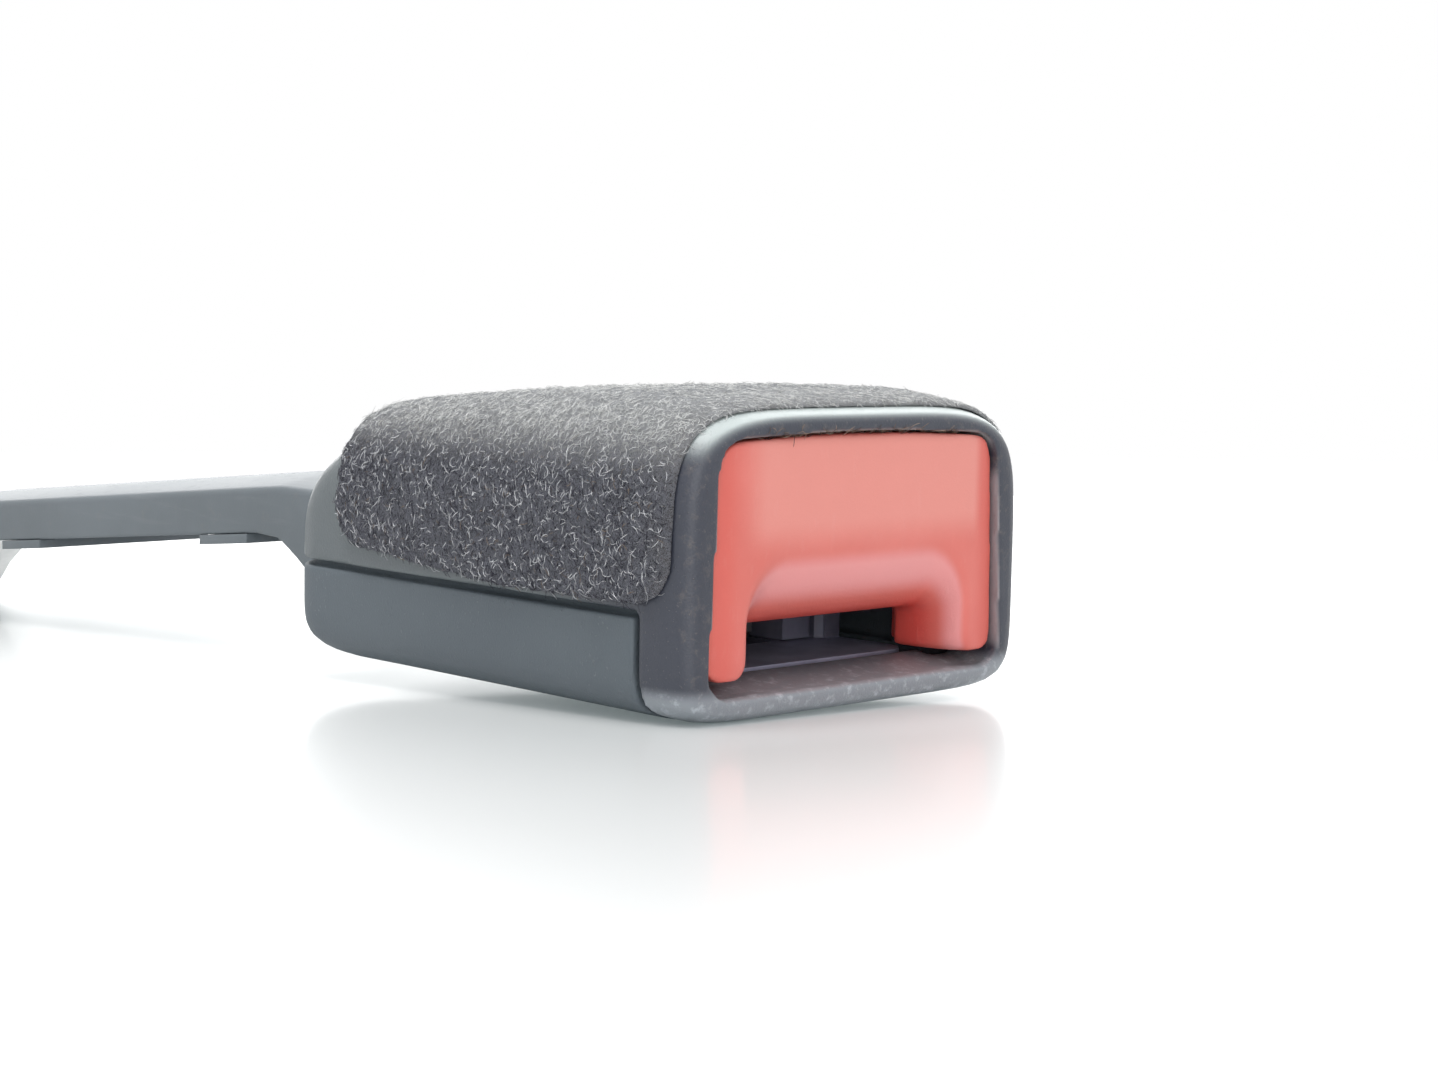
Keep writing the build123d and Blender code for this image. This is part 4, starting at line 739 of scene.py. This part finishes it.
# ---------------------------------------------------------------------------------
# Springs: round spring-steel wire coils. Two return the button, one closes the latch
# and one, between the ejector and its block, throws the tongue out.
def coil(name, radius, length, base_point, axis):
    """A compression spring of round wire from base_point along an axis."""
    turns, wire, steps = 5, 0.21, 26
    bpy.ops.object.select_all(action="DESELECT")
    bpy.ops.mesh.primitive_circle_add(vertices=10, radius=wire * MM, location=(radius * MM, 0, 0),
                                      rotation=(math.pi / 2, 0, 0))
    made = bpy.context.active_object
    bpy.ops.object.transform_apply(location=True, rotation=True)
    made.name = name
    screw = made.modifiers.new("coil", "SCREW")
    screw.axis = "Z"
    screw.screw_offset = (length - 2 * wire) / turns * MM
    screw.iterations = turns
    screw.steps = steps
    screw.render_steps = steps
    screw.use_merge_vertices = False
    apply_modifiers(made)
    bpy.ops.object.mode_set(mode="EDIT")
    bpy.ops.mesh.select_all(action="SELECT")
    bpy.ops.mesh.remove_doubles(threshold=0.000001)
    bpy.ops.mesh.select_all(action="DESELECT")
    bpy.ops.mesh.select_non_manifold()
    bpy.ops.mesh.fill()
    bpy.ops.mesh.select_all(action="SELECT")
    bpy.ops.mesh.normals_make_consistent(inside=False)
    bpy.ops.object.mode_set(mode="OBJECT")
    bpy.ops.object.shade_smooth_by_angle(angle=math.radians(50))
    turn = Vector((0, 0, 1)).rotation_difference(Vector(axis)).to_matrix().to_4x4()
    place = Matrix.Translation(Vector(base_point) * MM)
    made.data.transform(place @ turn @ Matrix.Translation((0, 0, wire * MM)))
    return made


spring_finish, shader, place = new_finish("spring_wire", Metallic=1.0, Roughness=0.3)
stain = place.noise(600, 3, 0.6)
base = stain.between(0.3, 0.7).blend((0.42, 0.40, 0.37), (0.60, 0.59, 0.57))
feed(shader, Base_Color=base, Roughness=0.22 + stain * 0.25,
     Normal=bump(place.noise(6000, 2, 0.6), 0.15, 0.00003))

button_springs = []
for side, name in ((-1, "left"), (1, "right")):
    made = coil("button_coil_" + name, 1.3, 13.9, (side * ARM_X, 34.05, ARM_HEIGHT), (0, 1, 0))
    button_springs.append((made, "button_spring_" + name, "button_press", (0, 1, 0), (0, 0.048, 0.0094),
                           0.64))
ejector_coil = coil("ejector_coil", 1.35, 12.8, (0, 28.05, -0.15), (0, 1, 0))
latch_coil = coil("latch_coil", 1.9, 7.5, (0, 21.75, 5.45), (0, 0, 1))
for made, node, joint, axis, anchor, keep in button_springs + [
        (ejector_coil, "ejector_spring", "ejector_slide", (0, 1, 0), (0, 0.0409, -0.00015), 0.45),
        (latch_coil, "latch_spring", "latch_lift", (0, 0, 1), (0, 0.02175, 0.013), 0.57)]:
    wear(made, spring_finish)
    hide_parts(node)
    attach(made, "housing")
    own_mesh(made)


# ---------------------------------------------------------------------------------
# Mechanism: phosphated pressings, zinc-plated rivets, a case-hardened latch and lock
# bar, a ground pin with its clip, and nylon guides. They keep the model's shapes.
def plated(name, dark, bright, roughness):
    """A plated or ground steel with clouded colour and fine drawn scratches."""
    finish, shader, place = new_finish(name, Metallic=1.0, Roughness=roughness)
    cloud = place.noise(160, 4, 0.65)
    drawn = place.stretched(1, 0.06, 1).noise(3000, 2, 0.6)
    feed(shader, Base_Color=cloud.between(0.3, 0.7).blend(dark, bright),
         Roughness=roughness - 0.08 + cloud * 0.16 + drawn * 0.08, Normal=bump(drawn, 0.2, 0.00003))
    return finish


zinc = plated("zinc_plate", (0.44, 0.45, 0.45), (0.60, 0.61, 0.62), 0.36)
phosphate = plated("dark_phosphate", (0.38, 0.38, 0.50), (0.50, 0.50, 0.62), 0.50)
hardened = plated("hardened_steel", (0.24, 0.23, 0.23), (0.38, 0.37, 0.37), 0.30)
ground = plated("ground_steel", (0.56, 0.56, 0.56), (0.70, 0.70, 0.70), 0.22)
nylon_finish, shader, place = new_finish("nylon", Roughness=0.45)
cloud = place.noise(220, 3, 0.6)
feed(shader, Base_Color=cloud.between(0.3, 0.7).blend((0.13, 0.13, 0.18), (0.18, 0.18, 0.24)),
     Roughness=0.38 + cloud * 0.18, Normal=bump(place.noise(4000, 2, 0.6), 0.2, 0.00004))
for finish, names in ((phosphate, ("steel_frame", "frame_bridge")),
                      (zinc, ("strap_rivet_left", "strap_rivet_right")),
                      (hardened, ("latch_plate", "lock_bar")),
                      (ground, ("latch_pivot_pin", "pivot_clip")),
                      (nylon_finish, ("ejector", "spring_block", "guide_rail_left", "guide_rail_right",
                                      "lock_bar_bush_left", "lock_bar_bush_right"))):
    for name in names:
        wear(frame["nodes"][name], finish)


# ---------------------------------------------------------------------------------
# Anchor strap: a 2.5 mm steel strip, blanked, cranked twice and zinc-plated, with an
# eye for the anchor bolt. Its edges are slightly broken from tumbling.
def broken_edges(name, node, width):
    """A copy of a model's piece with its sharp edges rounded off."""
    sharp = math.radians(34)
    made = copy_of_model(node, name)
    select_only(made)
    bpy.ops.object.mode_set(mode="EDIT")
    bpy.ops.mesh.select_all(action="SELECT")
    bpy.ops.mesh.remove_doubles(threshold=0.000002)
    bpy.ops.mesh.dissolve_limited(angle_limit=math.radians(1.0))
    bpy.ops.mesh.normals_make_consistent(inside=False)
    bpy.ops.object.mode_set(mode="OBJECT")
    bevel = made.modifiers.new("edges", "BEVEL")
    bevel.width = width * MM
    bevel.segments = 2
    bevel.limit_method = "ANGLE"
    bevel.angle_limit = sharp
    apply_modifiers(made)
    bpy.ops.object.shade_smooth_by_angle(angle=sharp)
    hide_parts(node)
    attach(made, "housing")
    return made


strap = broken_edges("strap_strip", "anchor_strap", 0.25)
strap_finish, shader, place = new_finish("strap_plate", Metallic=1.0, Roughness=0.4)
cloud = place.noise(120, 4, 0.65)
spangle = place.noise(1500, 2, 0.6)
rust = place.noise(260, 5, 0.7).between(0.66, 0.74)
eye = (0, 0.198, -0.01165)
from_eye = place.node("VectorMath", {"operation": "DISTANCE"}, {0: place, 1: eye}, "Value")
worn = 1 - from_eye.between(0.0085, 0.0105)
base = cloud.between(0.3, 0.7).blend((0.40, 0.41, 0.41), (0.56, 0.57, 0.57))
base = (worn * 0.4).blend(base, (0.70, 0.70, 0.68))
base = (rust * 0.35).blend(base, (0.22, 0.15, 0.10))
feed(shader, Base_Color=base, Roughness=0.30 + cloud * 0.2 + rust * 0.25,
     Normal=bump(spangle + rust, 0.25, 0.00004))
wear(strap, strap_finish)


# ---------------------------------------------------------------------------------
# Sleeve: a dark grey polypropylene cover moulded over the strap, crowned on top, with
# a flared root that plugs into the housing. A strip below it clips round its edges.
CRANK, CRANK_HEIGHT = 75, 7.19
ROOT_RISE, STALK_FALL = 0.362, 0.0975
STRAIGHT = 78.5
SHOULDER = 2.46
HALF_STALK = 12.0


def stalk_z(y):
    """The middle of the strap's straight part."""
    return CRANK_HEIGHT - STALK_FALL * (y - CRANK)


def strap_z(y):
    """The middle of the strap, which is steeper in front of its crank."""
    return CRANK_HEIGHT - ROOT_RISE * (CRANK - y) if y < CRANK else stalk_z(y)


def sleeve_ring(y, shrink=0.0):
    """The cover's section: an arch over the strap, open below."""
    root = ((55.0, -2.7, 9.6), (63.0, -2.1, 9.7), (67.0, 0.1, 9.7), (70.5, 2.3, 9.7), (74.0, 4.2, 9.7),
            (STRAIGHT, stalk_z(STRAIGHT) - SHOULDER, stalk_z(STRAIGHT) + SHOULDER))
    bottom, shoulder = stalk_z(y) - SHOULDER, stalk_z(y) + SHOULDER
    if y < STRAIGHT:
        distances, bottoms, shoulders = zip(*root)
        bottom = float(np.interp(y, distances, bottoms))
        shoulder = float(np.interp(y, distances, shoulders))
    half, leg, rise = HALF_STALK - shrink, 10.2, 1.65
    roof = max(strap_z(y) + rise, bottom + 1.2)
    top = shoulder - shrink
    crown = [(half * s, top + rise * (1 - s * s), 0)
             for s in (0.86, 0.7, 0.5, 0.25, 0, -0.25, -0.5, -0.7, -0.86)]
    right_side = [(leg, bottom, 0), (half, bottom, 0.35), (half, top, 0.9)]
    left_side = [(-half, top, 0.9), (-half, bottom, 0.35), (-leg, bottom, 0)]
    inside = [(-leg, roof, 0.3), (leg, roof, 0.3)]
    return [(x, y, z) for x, z in rounded(right_side + crown + left_side + inside, 5)]


flared_root = [55, 57, 59, 61, 62.2, 63, 63.8, 65, 66.2, 67, 68.6, 70.5, 72.2, 73.4, 74.4, 75.6, 77, 78.5, 80,
               82]
stalk = [82 + 9 * i for i in range(1, 9)] + [160, 162.2]
rounded_end = [sleeve_ring(162.7, 0.15), sleeve_ring(163, 0.5)]
cover = solid("cover", [sleeve_ring(y) for y in flared_root + stalk] + rounded_end)
for side in (-1, 1):
    span = sorted((side * 11.0, side * 13.8))
    carve(cover, "UNION", box("flange", span, (55.6, 56.7), (1.0, 4.8)))
select_only(cover)
bpy.ops.object.shade_smooth_by_angle(angle=math.radians(40))
cover.name = "sleeve_cover"
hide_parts("sleeve_top")
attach(cover, "housing")
base_strip = broken_edges("sleeve_strip", "sleeve_base", 0.22)

sleeve_finish, shader, place = new_finish("sleeve_grey", Specular_IOR_Level=0.5)
cloud = place.noise(60, 4, 0.6)
grain = place.noise(3800, 3, 0.6)
flow = place.stretched(1, 0.08, 1).noise(900, 3, 0.6).between(0.55, 0.72)
dust = place.noise(420, 4, 0.7).between(0.55, 0.75)
base = cloud.between(0.3, 0.7).blend((0.128, 0.148, 0.162), (0.152, 0.174, 0.190))
base = (flow * 0.18).blend(base, (0.22, 0.23, 0.24))
base = (dust * 0.22).blend(base, (0.27, 0.25, 0.23))
feed(shader, Base_Color=base, Roughness=0.42 + cloud * 0.14 + dust * 0.12,
     Normal=bump(grain + flow * 0.4, 0.35, 0.00006))
for made in (cover, base_strip):
    wear(made, sleeve_finish)


# ---------------------------------------------------------------------------------
# Table. A glossy white top, tilted against the buckle's axes, that just touches the
# finished buckle from below. It looks polished, but lights the buckle as if it were matt.
TABLE_FALL_BACK = 0.0478
TABLE_FALL_RIGHT = 0.028
height = min(vertex.co.z + TABLE_FALL_BACK * vertex.co.y + TABLE_FALL_RIGHT * vertex.co.x
             for piece in (tray, hood, strap) for vertex in piece.data.vertices)
bpy.ops.object.select_all(action="DESELECT")
bpy.ops.mesh.primitive_grid_add(x_subdivisions=4, y_subdivisions=4, size=6, location=(0, 0, 0))
table = bpy.context.active_object
table.name = "table"
for corner in table.data.vertices:
    corner.co.z = height - TABLE_FALL_BACK * corner.co.y - TABLE_FALL_RIGHT * corner.co.x
table_finish = bpy.data.materials.new("table_white")
table_finish.use_nodes = True
table_tree = table_finish.node_tree
table_tree.nodes.remove(table_tree.nodes["Principled BSDF"])
start = Wire(table_tree)
place = start.node("TexCoord", output="Object")
distance = start.node("VectorMath", {"operation": "LENGTH"}, {0: place}, "Value")
matt = start.node("BsdfDiffuse", {}, {"Color": (0.76, 0.77, 0.78, 1)})
shaded = start.node("BsdfDiffuse", {}, {"Color": (0.60, 0.585, 0.575, 1)})
glow_colour = distance.between(0.13, 0.85).blend((0.150, 0.185, 0.190), (0.74, 0.74, 0.74))
glow = start.node("Emission", {}, {"Color": glow_colour, "Strength": 1.0})
lit = start.node("AddShader", {}, {0: shaded, 1: glow})
haze = start.node("BsdfGlossy", {}, {"Color": (1, 1, 1, 1), "Roughness": 0.30})
gloss = start.node("BsdfGlossy", {}, {"Color": (1, 1, 1, 1), "Roughness": 0.09})
veiled = start.node("MixShader", {}, {0: 0.22, 1: lit, 2: haze})
sharpness = 0.11 - distance.between(0.03, 0.13) * 0.06
polished = start.node("MixShader", {}, {0: sharpness, 1: veiled, 2: gloss})
whole = start.node("MixShader", {}, {0: background_rays(start), 1: matt, 2: polished})
table_tree.links.new(whole.socket, table_tree.nodes["Material Output"].inputs["Surface"])
wear(table, table_finish)
